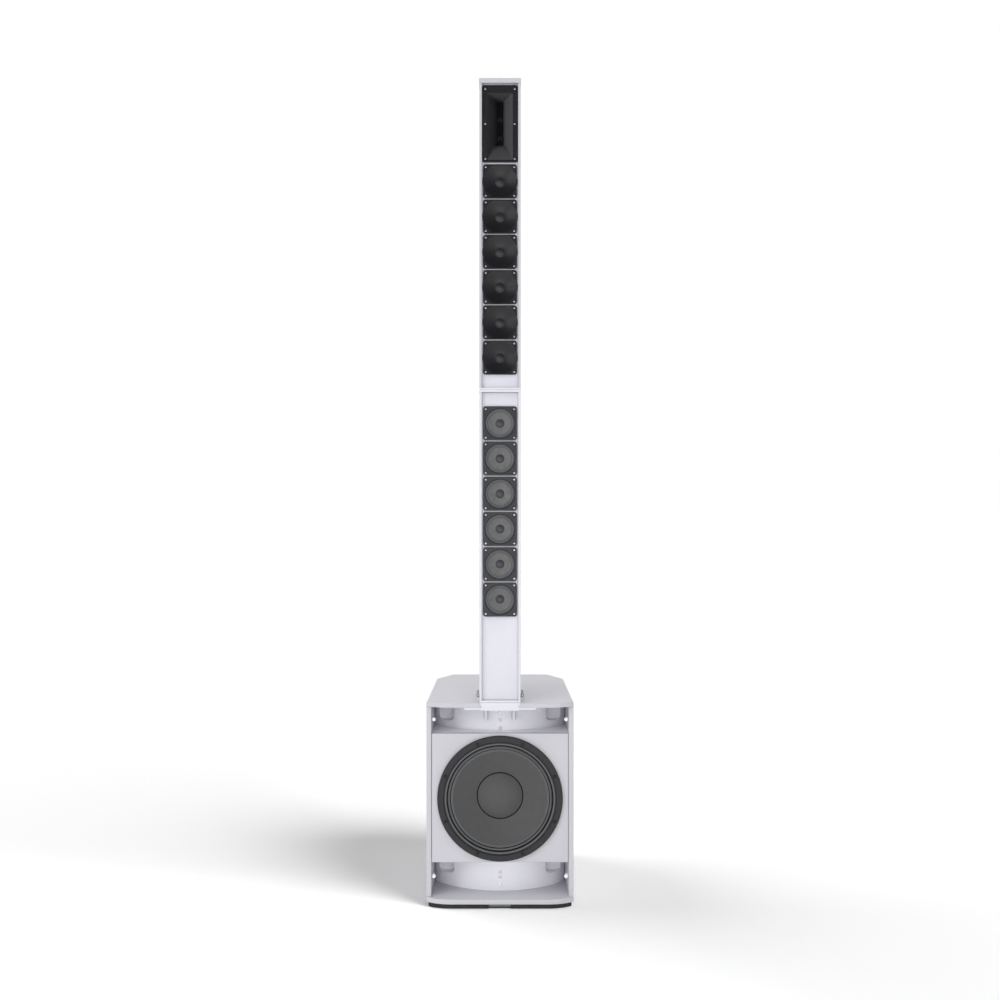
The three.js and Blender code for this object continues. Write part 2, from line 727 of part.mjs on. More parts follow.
function inputJack(x) {
  const flange = facing(roundedRectangle(13, 15.5, 3), PLATE_BACK + FIT, PLATE_BACK + 3, x, JACK_HEIGHT, 2);
  const cup = rod(12.2, 478, PLATE_BACK + 2, x, JACK_HEIGHT, DRIVER_SIDES);
  const socket = rod(9.6, 481, PLATE_BACK + 6, x, JACK_HEIGHT, DRIVER_SIDES);
  return cut(join(flange, cup), socket);
}

// A three-pin mains inlet: a deep well with its pins well inside.
function powerInlet() {
  const body = box([INLET_X - 15, INLET_X + 15], [474, PLATE_BACK + 1.5], [SUPPLY_HEIGHT - 11, SUPPLY_HEIGHT + 11]);
  const well = box([INLET_X - 12, INLET_X + 12], [477, PLATE_BACK + 3], [SUPPLY_HEIGHT - 8, SUPPLY_HEIGHT + 8]);
  const pins = [];
  for (const [dx, dz] of [[-7, -2], [0, 3], [7, -2]]) {
    const x = INLET_X + dx;
    const z = SUPPLY_HEIGHT + dz;
    pins.push(box([x - 1, x + 1], [476, 491], [z - 2.5, z + 2.5]));
  }
  return join(cut(body, well), ...pins);
}

function knob(x) {
  const cap = turned([
    [0, 488],
    [3, 488],
    [3, PLATE_BACK + 0.7],
    [KNOB_RADIUS, PLATE_BACK + 0.7],
    [KNOB_RADIUS - 1, CABINET_DEPTH - 1],
    [KNOB_RADIUS - 2, CABINET_DEPTH - 0.3],
    [0, CABINET_DEPTH - 0.3],
  ], x, KNOB_HEIGHT, DRIVER_SIDES);
  const line = box(
    [x - 0.6, x + 0.6],
    [CABINET_DEPTH - 1, CABINET_DEPTH + 1],
    [KNOB_HEIGHT + 1.5, KNOB_HEIGHT + KNOB_RADIUS + 1],
  );
  return cut(cap, line);
}

// A rocker whose face is a shallow vee: the lower half lies flat when it is off.
function powerRocker() {
  const pivot = PLATE_BACK - 1;
  const tilt = THREE.MathUtils.degToRad(7);
  const half = 12;
  const vee = new THREE.Shape();
  const rise = (angle, length) => [Math.sin(angle) * length, Math.cos(angle) * length];
  const [outTop, upTop] = rise(2 * tilt, half);
  vee.moveTo(behind(pivot + 1.6), -half);
  vee.lineTo(behind(pivot + 1.6), 0);
  vee.lineTo(behind(pivot + 1.6 + outTop), upTop);
  vee.lineTo(behind(pivot - 5), upTop);
  vee.lineTo(behind(pivot - 9), 0);
  vee.lineTo(behind(pivot - 5), -half);
  vee.closePath();
  return sideways(vee, ROCKER_X - 7.4, ROCKER_X + 7.4).translate(0, 0, SUPPLY_HEIGHT);
}

addTo(cabinet, 'amp_plate', ampPlate(), DARK_METAL);
addTo(cabinet, 'amp_heatsink', ampHeatsink(), DARK_METAL);
addTo(cabinet, 'amp_circuit_board', ampCircuitBoard(), BOARD_GREEN);
addTo(cabinet, 'input_jack_left', inputJack(-JACK_X), BLACK_PLASTIC);
addTo(cabinet, 'input_jack_right', inputJack(JACK_X), BLACK_PLASTIC);
addTo(cabinet, 'power_inlet', powerInlet(), BLACK_PLASTIC);
addTo(cabinet, 'power_rocker', powerRocker(), BLACK_PLASTIC);
for (const [name, place] of KNOBS) {
  addTo(cabinet, name, knob(place * KNOB_SPACING), BLACK_PLASTIC);
}
group.add(cabinet);

// ---------------------------------------------------------------- column sections

// The plan of the extruded shell: thick front edges, thinner sides and a closed back.
function shellOutline() {
  const lip = COLUMN_HALF_WIDTH - COLUMN_EDGE;
  const thin = COLUMN_HALF_WIDTH - COLUMN_WALL;
  const step = COLUMN_BAFFLE_FRONT + COLUMN_BAFFLE_THICKNESS + 4;
  const round = 8;
  const back = COLUMN_BACK - round;
  const quarter = Math.PI / 2;
  const side = COLUMN_HALF_WIDTH - round;
  const shape = new THREE.Shape();
  shape.moveTo(lip, behind(COLUMN_FRONT));
  shape.lineTo(COLUMN_HALF_WIDTH, behind(COLUMN_FRONT));
  shape.absarc(side, behind(back), round, 0, quarter, false);
  shape.absarc(-side, behind(back), round, quarter, 2 * quarter, false);
  shape.lineTo(-COLUMN_HALF_WIDTH, behind(COLUMN_FRONT));
  shape.lineTo(-lip, behind(COLUMN_FRONT));
  shape.lineTo(-lip, behind(step));
  shape.lineTo(-thin, behind(step));
  shape.lineTo(-thin, behind(back));
  shape.lineTo(-thin + 5, behind(COLUMN_BACK - COLUMN_WALL));
  shape.lineTo(thin - 5, behind(COLUMN_BACK - COLUMN_WALL));
  shape.lineTo(thin, behind(back));
  shape.lineTo(thin, behind(step));
  shape.lineTo(lip, behind(step));
  shape.closePath();
  return shape;
}

// A full plate over the shell's end, with rounded rear corners.
function endPlate(bottom, top, overhang = 0) {
  const half = COLUMN_HALF_WIDTH + overhang;
  const front = COLUMN_FRONT - overhang;
  const back = COLUMN_BACK + overhang;
  const round = 8;
  const quarter = Math.PI / 2;
  const shape = new THREE.Shape();
  shape.moveTo(-half, behind(front));
  shape.lineTo(half, behind(front));
  shape.absarc(half - round, behind(back - round), round, 0, quarter, false);
  shape.absarc(-half + round, behind(back - round), round, quarter, 2 * quarter, false);
  shape.closePath();
  return standing(shape, bottom, top, 3);
}

const spigot = (bottom, top) => box(
  [-SOCKET_HALF + 0.6, SOCKET_HALF - 0.6],
  [SOCKET_FRONT + 0.6, SOCKET_BACK - 0.6],
  [bottom, top],
);
const innerPlug = (bottom, top) => box([-43, 43], [20, 112], [bottom, top]);

function columnShell(bottom, top) {
  return standing(shellOutline(), bottom, top, 3);
}

function columnBaffle(bottom, top, holes) {
  const half = COLUMN_HALF_WIDTH - COLUMN_EDGE - FIT;
  const back = COLUMN_BAFFLE_FRONT + COLUMN_BAFFLE_THICKNESS;
  return cut(box([-half, half], [COLUMN_BAFFLE_FRONT, back], [bottom, top]), ...holes);
}

function driverHole(height, radius) {
  return rod(radius, COLUMN_BAFFLE_FRONT - 2, COLUMN_BAFFLE_FRONT + 8, 0, height, DRIVER_SIDES);
}

const driverHeights = (topDriver) => {
  const heights = [];
  for (let number = 0; number < DRIVER_COUNT; number += 1) {
    heights.push(topDriver - number * DRIVER_PITCH);
  }
  return heights;
};

// ---------------------------------------------------------------- lower column

// A square frame with its surround and the basket and magnet behind it.
function midrangeFrame(height) {
  const plate = facing(
    roundedRectangle(DRIVER_HALF, DRIVER_HALF, DRIVER_CORNER),
    DRIVER_FRONT,
    DRIVER_FRONT + DRIVER_PLATE,
    0,
    height,
    2,
  );
  const hole = rod(MIDRANGE_SURROUND_RADIUS, 0, 20, 0, height, DRIVER_SIDES);
  const inner = MIDRANGE_CONE_RADIUS + 0.7;
  const basket = turned([
    [inner, 10.2],
    [31.5, 8.6],
    [MIDRANGE_SURROUND_RADIUS + 2, 10.4],
    [MIDRANGE_SURROUND_RADIUS + 2, 17],
    [26, 42],
    [26, 60],
    [0, 60],
    [0, 44],
    [12, 44],
    [31, 13.5],
    [inner, 12],
  ], 0, height, DRIVER_SIDES);
  return join(cut(plate, hole), basket);
}

function midrangeCone(height) {
  return turned([
    [0, 15],
    [MIDRANGE_CAP_RADIUS - 4, 16],
    [MIDRANGE_CAP_RADIUS, 18.6],
    [MIDRANGE_CONE_RADIUS, 11],
    [MIDRANGE_CONE_RADIUS, 12.4],
    [MIDRANGE_CAP_RADIUS, 22],
    [9, 38],
    [7.5, 38],
    [7.5, 20],
    [0, 17.5],
  ], 0, height, DRIVER_SIDES);
}

const lowerColumn = new THREE.Group();
const LOWER_SHELL_BOTTOM = COLUMN_BASE + FOOT_LIP;
const LOWER_SHELL_TOP = COLUMN_SEAM - SEAM_LIP;

function lowerFoot() {
  const plate = endPlate(COLUMN_BASE, LOWER_SHELL_BOTTOM - FIT);
  const plug = innerPlug(LOWER_SHELL_BOTTOM - 1, LOWER_SHELL_BOTTOM + 14);
  const pedestal = box([-PEDESTAL_HALF, PEDESTAL_HALF], [9, COLUMN_BACK - 2], [DOCK_FLOOR + FIT, COLUMN_BASE + 1]);
  return join(plate, plug, pedestal, spigot(DOCK_FLOOR - PLUG_DEPTH + FIT, COLUMN_BASE + 1));
}

function lowerTopCap() {
  const plate = endPlate(LOWER_SHELL_TOP + FIT, COLUMN_SEAM, 0.8);
  const plug = innerPlug(LOWER_SHELL_TOP - 16, LOWER_SHELL_TOP + 1);
  const socket = box(
    [-SOCKET_HALF, SOCKET_HALF],
    [SOCKET_FRONT + 4, SOCKET_BACK + 4],
    [COLUMN_SEAM - PLUG_DEPTH - 2, COLUMN_SEAM + 1],
  );
  return cut(join(plate, plug), socket);
}

const lowerHeights = driverHeights(LOWER_TOP_DRIVER);
const lowerHoles = lowerHeights.map((height) => driverHole(height, MIDRANGE_SURROUND_RADIUS + 3));
addTo(lowerColumn, 'lower_column_shell', columnShell(LOWER_SHELL_BOTTOM, LOWER_SHELL_TOP), WHITE_PAINT);
addTo(
  lowerColumn,
  'lower_column_baffle',
  columnBaffle(LOWER_SHELL_BOTTOM + 0.5, LOWER_SHELL_TOP - 0.5, lowerHoles),
  WHITE_PAINT,
);
addTo(lowerColumn, 'lower_column_foot', lowerFoot(), WHITE_PLASTIC);
addTo(lowerColumn, 'lower_column_top_cap', lowerTopCap(), WHITE_PLASTIC);
lowerHeights.forEach((height, index) => {
  addTo(lowerColumn, `midrange_frame_${index + 1}`, midrangeFrame(height), DRIVER_GREY);
  addTo(lowerColumn, `midrange_cone_${index + 1}`, midrangeCone(height), SMALL_CONE_GREY);
});
group.add(lowerColumn);

// ---------------------------------------------------------------- upper column

// A square plate with bulging sides around a glossy bowl, with a dome in its middle.
function waveguideDriver(height) {
  const back = DRIVER_FRONT + DRIVER_PLATE;
  const square = facing(
    roundedRectangle(DRIVER_HALF, DRIVER_HALF, DRIVER_CORNER),
    DRIVER_FRONT,
    back,
    0,
    height,
    2,
  );
  const disc = rod(BOWL_RADIUS, DRIVER_FRONT, back, 0, height, DRIVER_SIDES);
  const clip = box([-50, 50], [0, 30], [height - DRIVER_HALF, height + DRIVER_HALF]);
  const rear = turned([
    [0, 9],
    [40, 9],
    [40, 13],
    [26, 24],
    [26, 62],
    [0, 62],
  ], 0, height, DRIVER_SIDES);
  const bowl = turned([
    [0, 5],
    [BOWL_RADIUS - 1.5, 5],
    [BOWL_RADIUS - 1.5, DRIVER_FRONT],
    [27, 14.5],
    [BOWL_DOME_RADIUS, 19.5],
    [8, 17],
    [0, 15],
  ], 0, height, DRIVER_SIDES);
  return cut(join(square, overlap(disc, clip), rear), bowl);
}

// A flanged horn: a wide mouth narrows past a knee to an upright slot with two round exits.
function horn() {
  const height = (HORN_TOP + HORN_BOTTOM) / 2;
  const halfHeight = (HORN_TOP - HORN_BOTTOM) / 2;
  const outline = roundedRectangle(HORN_HALF_WIDTH, halfHeight, 6);
  const flange = facing(outline, DRIVER_FRONT, DRIVER_FRONT + DRIVER_PLATE, 0, height, 2);
  const throatDepth = DRIVER_FRONT + HORN_DEPTH;
  const mouth = { depth: DRIVER_FRONT - 1, ...HORN_MOUTH };
  const throat = { depth: throatDepth, ...HORN_THROAT };
  const grow = ({ depth, halfWidth, bottom, top }, extra) => ({
    depth: depth + extra,
    halfWidth: halfWidth + HORN_SKIN,
    bottom: bottom - HORN_SKIN,
    top: top + HORN_SKIN,
  });
  const outer = [grow(mouth, 3), grow(HORN_KNEE, 0), grow(throat, HORN_SKIN)];
  const exits = TWEETER_HEIGHTS.map((z) => rod(TWEETER_EXIT_RADIUS, throatDepth - 2, throatDepth + 9, 0, z));
  const body = join(flange, funnel(outer[0], outer[1]), funnel(outer[1], outer[2]));
  return cut(body, funnel(mouth, HORN_KNEE), funnel(HORN_KNEE, throat), ...exits);
}

function tweeter(height) {
  const front = DRIVER_FRONT + HORN_DEPTH + HORN_SKIN + FIT;
  return turned([
    [0, front + 6],
    [TWEETER_EXIT_RADIUS, front + 6],
    [TWEETER_EXIT_RADIUS, front],
    [20, front],
    [20, front + 4],
    [22.5, front + 6],
    [22.5, front + 24],
    [20, front + 26],
    [0, front + 26],
  ], 0, height, DRIVER_SIDES);
}

const upperColumn = new THREE.Group();
const UPPER_BASE = COLUMN_SEAM + FIT;
const UPPER_SHELL_BOTTOM = UPPER_BASE + 5;
const UPPER_SHELL_TOP = COLUMN_TOP - TOP_CAP;

function upperFoot() {
  const plate = endPlate(UPPER_BASE, UPPER_SHELL_BOTTOM - FIT);
  const plug = innerPlug(UPPER_SHELL_BOTTOM - 1, UPPER_SHELL_BOTTOM + 12);
  const pin = spigot(COLUMN_SEAM - PLUG_DEPTH + FIT, UPPER_BASE + 1).translate(0, 4, 0);
  return join(plate, plug, pin);
}

function upperTopCap() {
  const plate = endPlate(UPPER_SHELL_TOP + FIT, COLUMN_TOP, 1);
  return join(plate, innerPlug(UPPER_SHELL_TOP - 10, UPPER_SHELL_TOP + 1));
}

const upperHeights = driverHeights(UPPER_TOP_DRIVER);
const upperHoles = upperHeights.map((height) => driverHole(height, 40.6));
upperHoles.push(box([-37, 37], [0, 40], [HORN_BOTTOM + 2.5, HORN_TOP - 15]));
addTo(upperColumn, 'upper_column_shell', columnShell(UPPER_SHELL_BOTTOM, UPPER_SHELL_TOP), WHITE_PAINT);
addTo(
  upperColumn,
  'upper_column_baffle',
  columnBaffle(UPPER_SHELL_BOTTOM + 0.5, UPPER_SHELL_TOP - 0.5, upperHoles),
  WHITE_PAINT,
);
addTo(upperColumn, 'upper_column_foot', upperFoot(), WHITE_PLASTIC);
addTo(upperColumn, 'upper_column_top_cap', upperTopCap(), WHITE_PLASTIC);
addTo(upperColumn, 'horn', horn(), BLACK_PLASTIC);
TWEETER_HEIGHTS.forEach((height, index) => {
  addTo(upperColumn, index ? 'tweeter_lower' : 'tweeter_upper', tweeter(height), DARK_METAL);
});
upperHeights.forEach((height, index) => {
  addTo(upperColumn, `waveguide_driver_${index + 1}`, waveguideDriver(height), BLACK_PLASTIC);
});
group.add(upperColumn);

export default group;
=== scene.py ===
"""Looks of the column PA system: a ported subwoofer cabinet with a two-section column."""
import math
from contextlib import contextmanager

import bmesh
import bpy
from mathutils import Matrix, Vector


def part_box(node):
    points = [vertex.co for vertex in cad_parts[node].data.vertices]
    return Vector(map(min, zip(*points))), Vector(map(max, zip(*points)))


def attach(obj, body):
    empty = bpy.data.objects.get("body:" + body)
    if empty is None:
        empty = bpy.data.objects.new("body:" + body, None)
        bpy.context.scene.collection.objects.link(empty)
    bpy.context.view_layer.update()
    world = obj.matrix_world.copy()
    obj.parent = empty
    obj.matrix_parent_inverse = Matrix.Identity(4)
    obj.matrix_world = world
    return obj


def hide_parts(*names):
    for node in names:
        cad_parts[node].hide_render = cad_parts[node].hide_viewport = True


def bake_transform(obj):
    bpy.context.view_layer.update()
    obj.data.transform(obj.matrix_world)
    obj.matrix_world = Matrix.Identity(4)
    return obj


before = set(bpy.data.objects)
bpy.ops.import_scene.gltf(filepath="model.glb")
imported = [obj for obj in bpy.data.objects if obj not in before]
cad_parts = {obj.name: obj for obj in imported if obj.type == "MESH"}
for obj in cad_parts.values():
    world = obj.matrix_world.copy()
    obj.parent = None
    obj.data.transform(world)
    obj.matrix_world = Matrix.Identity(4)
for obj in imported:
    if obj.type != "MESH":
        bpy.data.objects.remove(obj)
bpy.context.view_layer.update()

MM = 0.001

# ---------------- camera and studio
CABINET_LOW, CABINET_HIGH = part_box("cabinet_top_panel")
FRONT = CABINET_LOW[1] / MM  # y of the front, in millimetres
EYE_HEIGHT = 1.011
EYE_DISTANCE = 3.086
FOCAL_LENGTH = 45
SENSOR = 36
VIEW_END = 300
FLOOR_REACH = 120
SUN_DISTANCE = 5
BAND_STRENGTH = 1.01


def link(obj):
    bpy.context.scene.collection.objects.link(obj)
    return obj


def aim(obj, target):
    """Turn an object so that it looks at a point."""
    direction = Vector(target) - obj.location
    obj.rotation_euler = direction.to_track_quat("-Z", "Y").to_euler()


def make_camera():
    camera = link(bpy.data.objects.new("camera", bpy.data.cameras.new("camera")))
    camera.data.lens = FOCAL_LENGTH
    camera.data.sensor_width = SENSOR
    camera.location = (0, CABINET_LOW[1] - EYE_DISTANCE, EYE_HEIGHT)
    camera.rotation_euler = (math.radians(90), 0, 0)
    camera.data.clip_end = VIEW_END
    bpy.context.scene.camera = camera


def make_light(name, kind, energy, receivers):
    """A light that shines on the objects of one collection only."""
    light = link(bpy.data.objects.new(name, bpy.data.lights.new(name, kind)))
    light.data.energy = energy
    light.light_linking.receiver_collection = receivers
    return light


def make_sun(name, azimuth, elevation, strength, softness, receivers):
    """A soft sun that shines from an azimuth (0 is the front, 90 the right side)."""
    sun = make_light(name, "SUN", strength, receivers)
    sun.data.angle = math.radians(softness)
    sun.visible_glossy = False
    turn = math.radians(azimuth)
    rise = math.radians(elevation)
    direction = (math.sin(turn) * math.cos(rise), -math.cos(turn) * math.cos(rise), math.sin(rise))
    sun.location = Vector(direction) * SUN_DISTANCE
    aim(sun, (0, 0, 0))


def make_panel(name, location, target, size, energy, receivers):
    panel = make_light(name, "AREA", energy, receivers)
    panel.data.shape = "RECTANGLE"
    panel.data.size, panel.data.size_y = size
    panel.visible_camera = False
    panel.location = location
    aim(panel, target)


def map_range(nodes, links, value, old, new, kind="LINEAR"):
    """Maps a value from one range onto another; returns the result's output."""
    ramp = nodes.new("ShaderNodeMapRange")
    ramp.interpolation_type = kind
    for name, number in zip(("From Min", "From Max", "To Min", "To Max"), (*old, *new)):
        ramp.inputs[name].default_value = number
    links.new(value, ramp.inputs["Value"])
    return ramp.outputs["Result"]


def make_world():
    """A white band around the horizon, dimmer behind the camera, under a dark ceiling."""
    world = bpy.data.worlds.new("studio")
    bpy.context.scene.world = world
    world.use_nodes = True
    nodes, links = world.node_tree.nodes, world.node_tree.links
    place = nodes.new("ShaderNodeTexCoord")
    split = nodes.new("ShaderNodeSeparateXYZ")
    links.new(place.outputs["Generated"], split.inputs[0])
    behind = map_range(nodes, links, split.outputs["Y"], (-0.3, 0.2), (0.4, 1.0), "SMOOTHSTEP")
    ceiling = map_range(nodes, links, split.outputs["Z"], (0.4, 0.55), (1.0, 0.08), "SMOOTHSTEP")
    both = nodes.new("ShaderNodeMath")
    both.operation = "MULTIPLY"
    links.new(behind, both.inputs[0])
    links.new(ceiling, both.inputs[1])
    links.new(both.outputs[0], nodes["Background"].inputs["Color"])
    nodes["Background"].inputs["Strength"].default_value = BAND_STRENGTH


def make_floor():
    mesh = bpy.data.meshes.new("studio_floor")
    corners = [(-1, -1), (1, -1), (1, 1), (-1, 1)]
    mesh.from_pydata([(x * FLOOR_REACH, y * FLOOR_REACH, 0) for x, y in corners], [], [(0, 1, 2, 3)])
    floor = link(bpy.data.objects.new("studio_floor", mesh))
    return floor


def receiver_collection(name, obj, state):
    """A light's receivers: one object alone, or everything but that object."""
    collection = bpy.data.collections.new(name)
    collection.objects.link(obj)
    collection.collection_objects[0].light_linking.link_state = state
    return collection


def make_lights():
    """Two suns draw the shadows on the floor, softer lights shine on the object."""
    floor_only = receiver_collection("floor_only", studio_floor, "INCLUDE")
    object_only = receiver_collection("object_only", studio_floor, "EXCLUDE")
    make_sun("shadow_sun_right", 52, 42, 2.75, 34, floor_only)
    make_sun("shadow_sun_left", -112, 42, 1.28, 38, floor_only)
    make_sun("front_sun", 0, 28, 0.5, 40, object_only)
    make_sun("left_sun", -45, 38, 0.5, 45, object_only)
    make_sun("top_sun", 0, 75, 1.3, 50, object_only)
    make_sun("back_sun", 180, 55, 1.15, 40, object_only)
    make_panel("low_panel", (0, -3.2, 0.45), (0, 0, 0.4), (2.2, 0.8), 15, object_only)
    make_panel("left_panel", (-2.0, -2.4, 1.9), (0, 0, 1.6), (0.8, 1.8), 13, object_only)


make_camera()
make_world()
studio_floor = make_floor()
make_lights()
bpy.context.scene.view_settings.view_transform = "Standard"

# ---------------- materials
LOOKS = {}


def add_noise(nodes, links, scale, detail, stretch):
    """Noise in the object's own space; returns its value output."""
    place = nodes.new("ShaderNodeTexCoord")
    mapping = nodes.new("ShaderNodeMapping")
    mapping.inputs["Scale"].default_value = stretch
    noise = nodes.new("ShaderNodeTexNoise")
    noise.inputs["Scale"].default_value = scale
    noise.inputs["Detail"].default_value = detail
    links.new(place.outputs["Object"], mapping.inputs["Vector"])
    links.new(mapping.outputs["Vector"], noise.inputs["Vector"])
    return noise.outputs["Fac"]


def tint_between(nodes, links, value, dark, light):
    ramp = nodes.new("ShaderNodeValToRGB")
    for element, position, tint in zip(ramp.color_ramp.elements, (0.3, 0.7), (dark, light)):
        element.position = position
        element.color = (*tint, 1)
    links.new(value, ramp.inputs[0])
    return ramp.outputs[0]


def surface(name, colour, variation, roughness, blotch, grain, bump, depth,
            metallic=0.0, coat=0.0, specular=0.5, stretch=(1, 1, 1)):
    """A finish with faint colour blotches, uneven gloss and a fine grain."""
    material = bpy.data.materials.new(name)
    material.use_nodes = True
    nodes, links = material.node_tree.nodes, material.node_tree.links
    shader = nodes["Principled BSDF"]
    shader.inputs["Metallic"].default_value = metallic
    shader.inputs["Coat Weight"].default_value = coat
    shader.inputs["Coat Roughness"].default_value = 0.12
    shader.inputs["Specular IOR Level"].default_value = specular
    dark = [channel * (1 - variation) for channel in colour]
    light = [min(1, channel * (1 + variation)) for channel in colour]
    broad = add_noise(nodes, links, blotch, 4, stretch)
    links.new(tint_between(nodes, links, broad, dark, light), shader.inputs["Base Color"])
    fine = add_noise(nodes, links, grain, 2, stretch)
    links.new(map_range(nodes, links, fine, (0.3, 0.7), roughness), shader.inputs["Roughness"])
    relief = nodes.new("ShaderNodeBump")
    relief.inputs["Strength"].default_value = bump
    relief.inputs["Distance"].default_value = depth * MM
    links.new(fine, relief.inputs["Height"])
    links.new(relief.outputs["Normal"], shader.inputs["Normal"])
    LOOKS[name] = material


# Each finish: name, colour, variation of the colour, roughness, scale of the blotches,
# scale of the grain, strength of the grain, depth of the grain in millimetres.
surface("cabinet_paint", (0.52, 0.517, 0.555), 0.015, (0.42, 0.56), 6, 620, 0.3, 0.25)
surface("column_paint", (0.65, 0.65, 0.715), 0.012, (0.4, 0.5), 7, 1300, 0.18, 0.12)
surface("shell_paint", (0.66, 0.66, 0.71), 0.012, (0.4, 0.5), 7, 1300, 0.18, 0.12)
# A darker copy of shell_paint: painted shade for the light that falls off towards the top of the column,
# which has one paint throughout.
surface("upper_shell_paint", (0.52, 0.52, 0.56), 0.012, (0.4, 0.5), 7, 1300, 0.18, 0.12)
surface("gasket_rubber", (0.09, 0.092, 0.096), 0.06, (0.5, 0.6), 40, 1500, 0.15, 0.1)
surface("dome_black", (0.019, 0.019, 0.023), 0.1, (0.38, 0.48), 30, 1500, 0.05, 0.05)
surface("horn_satin", (0.02, 0.02, 0.022), 0.1, (0.48, 0.58), 30, 1500, 0.1, 0.05, specular=0.4)
surface("bar_grey", (0.16, 0.16, 0.17), 0.08, (0.5, 0.6), 30, 1300, 0.15, 0.1)
surface("white_moulding", (0.68, 0.677, 0.73), 0.012, (0.34, 0.44), 8, 1900, 0.08, 0.08)
surface("port_moulding", (0.84, 0.835, 0.89), 0.012, (0.4, 0.5), 8, 1900, 0.08, 0.08)
surface("gloss_black", (0.008, 0.008, 0.0098), 0.15, (0.38, 0.48), 30, 1500, 0.05, 0.05,
        coat=0.06, specular=0.36)
surface("black_plastic", (0.018, 0.018, 0.021), 0.15, (0.42, 0.6), 30, 1100, 0.35, 0.15)
surface("control_plastic", (0.024, 0.024, 0.027), 0.1, (0.5, 0.62), 40, 1600, 0.15, 0.1)
surface("driver_frame", (0.022, 0.022, 0.028), 0.08, (0.42, 0.55), 40, 1500, 0.16, 0.1)
surface("basket_metal", (0.012, 0.012, 0.0145), 0.08, (0.44, 0.6), 30, 1200, 0.3, 0.15)
surface("surround_rubber", (0.098, 0.1, 0.106), 0.08, (0.4, 0.52), 30, 1800, 0.12, 0.08)
surface("woofer_cone", (0.068, 0.068, 0.07), 0.04, (0.5, 0.68), 60, 700, 0.35, 0.25)
surface("midrange_cone", (0.135, 0.137, 0.138), 0.12, (0.55, 0.75), 90, 900, 0.4, 0.2)
surface("cap_grey", (0.046, 0.043, 0.054), 0.08, (0.35, 0.45), 60, 1500, 0.1, 0.08)
surface("dark_metal", (0.06, 0.06, 0.065), 0.1, (0.35, 0.5), 20, 700, 0.12, 0.1, metallic=0.8)
surface("amp_metal", (0.035, 0.036, 0.04), 0.08, (0.38, 0.5), 14, 900, 0.15, 0.08,
        metallic=0.6, stretch=(0.15, 1, 1))
surface("circuit_board", (0.012, 0.1, 0.04), 0.2, (0.35, 0.5), 80, 1200, 0.2, 0.1)
surface("foot_rubber", (0.02, 0.02, 0.022), 0.15, (0.7, 0.85), 60, 1400, 0.4, 0.2)
surface("latch_plastic", (0.4, 0.4, 0.415), 0.08, (0.42, 0.55), 60, 1300, 0.15, 0.1)
surface("screw_steel", (0.6, 0.6, 0.62), 0.06, (0.25, 0.38), 200, 2500, 0.1, 0.05, metallic=1.0)
surface("screw_black", (0.03, 0.03, 0.034), 0.1, (0.35, 0.5), 200, 2500, 0.15, 0.05, metallic=0.5)
surface("stud_white", (0.88, 0.88, 0.9), 0.01, (0.22, 0.3), 90, 1800, 0.05, 0.05)
surface("print_white", (0.62, 0.62, 0.64), 0.03, (0.5, 0.6), 200, 2200, 0.05, 0.03)
surface("contact_brass", (0.75, 0.55, 0.25), 0.06, (0.25, 0.4), 200, 2000, 0.1, 0.05, metallic=1.0)
# Near-black with little shine: painted shade for places that lie in shadow.
surface("throat_black", (0.003, 0.003, 0.0035), 0.1, (0.6, 0.7), 60, 1500, 0.1, 0.08, specular=0.1)
surface("screw_grey", (0.74, 0.74, 0.78), 0.03, (0.35, 0.5), 200, 2500, 0.1, 0.05)
surface("lamp_green", (0.05, 0.4, 0.1), 0.05, (0.1, 0.2), 200, 900, 0.02, 0.02, coat=0.6)
surface("lamp_red", (0.5, 0.03, 0.02), 0.05, (0.1, 0.2), 200, 900, 0.02, 0.02, coat=0.6)
surface("lamp_blue", (0.03, 0.1, 0.5), 0.05, (0.1, 0.2), 200, 900, 0.02, 0.02, coat=0.6)
surface("studio_floor", (0.98, 0.98, 0.98), 0.004, (0.75, 0.85), 0.6, 90, 0.02, 0.1, specular=0.2)
studio_floor.data.materials.append(LOOKS["studio_floor"])

# ---------------- mesh tools
# Points are (x, depth behind the front, z) in millimetres.


def place(x, depth, z):
    return Vector((x, FRONT + depth, z)) * MM


def shares(steps):
    """Even steps from 0 to 1, both ends included."""
    return [step / steps for step in range(steps + 1)]


def shift(x, y, z):
    """A move in millimetres."""
    return Matrix.Translation(Vector((x, y, z)) * MM)


def turn_about(axis, degrees):
    return Matrix.Rotation(math.radians(degrees), 4, axis)


@contextmanager
def edited(mesh):
    """The mesh, open for changes that are written back at the end."""
    clean = bmesh.new()
    clean.from_mesh(mesh)
    yield clean
    clean.to_mesh(mesh)
    clean.free()


def merge_flat(clean):
    """Merges flat neighbouring faces."""
    bmesh.ops.dissolve_limit(
        clean, angle_limit=math.radians(0.4), verts=clean.verts, edges=clean.edges)


def finish_piece(obj, look, sharp=32):
    """Smooth shading with crisp edges, and the look."""
    obj.data.materials.clear()
    obj.data.materials.append(LOOKS[look])
    obj.data.shade_smooth()
    obj.data.set_sharp_from_angle(angle=math.radians(sharp))
    return obj


def new_object(name, points, faces, look=None):
    mesh = bpy.data.meshes.new(name)
    mesh.from_pydata([place(*point) for point in points], [], faces)
    obj = link(bpy.data.objects.new(name, mesh))
    with edited(mesh) as clean:
        bmesh.ops.remove_doubles(clean, verts=clean.verts, dist=1e-6)
        bmesh.ops.recalc_face_normals(clean, faces=clean.faces)
    if look:
        finish_piece(obj, look)
    return obj


def add_piece(obj, body, slot, *replaced):
    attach(obj, body)
    if replaced:
        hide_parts(*replaced)
    return obj


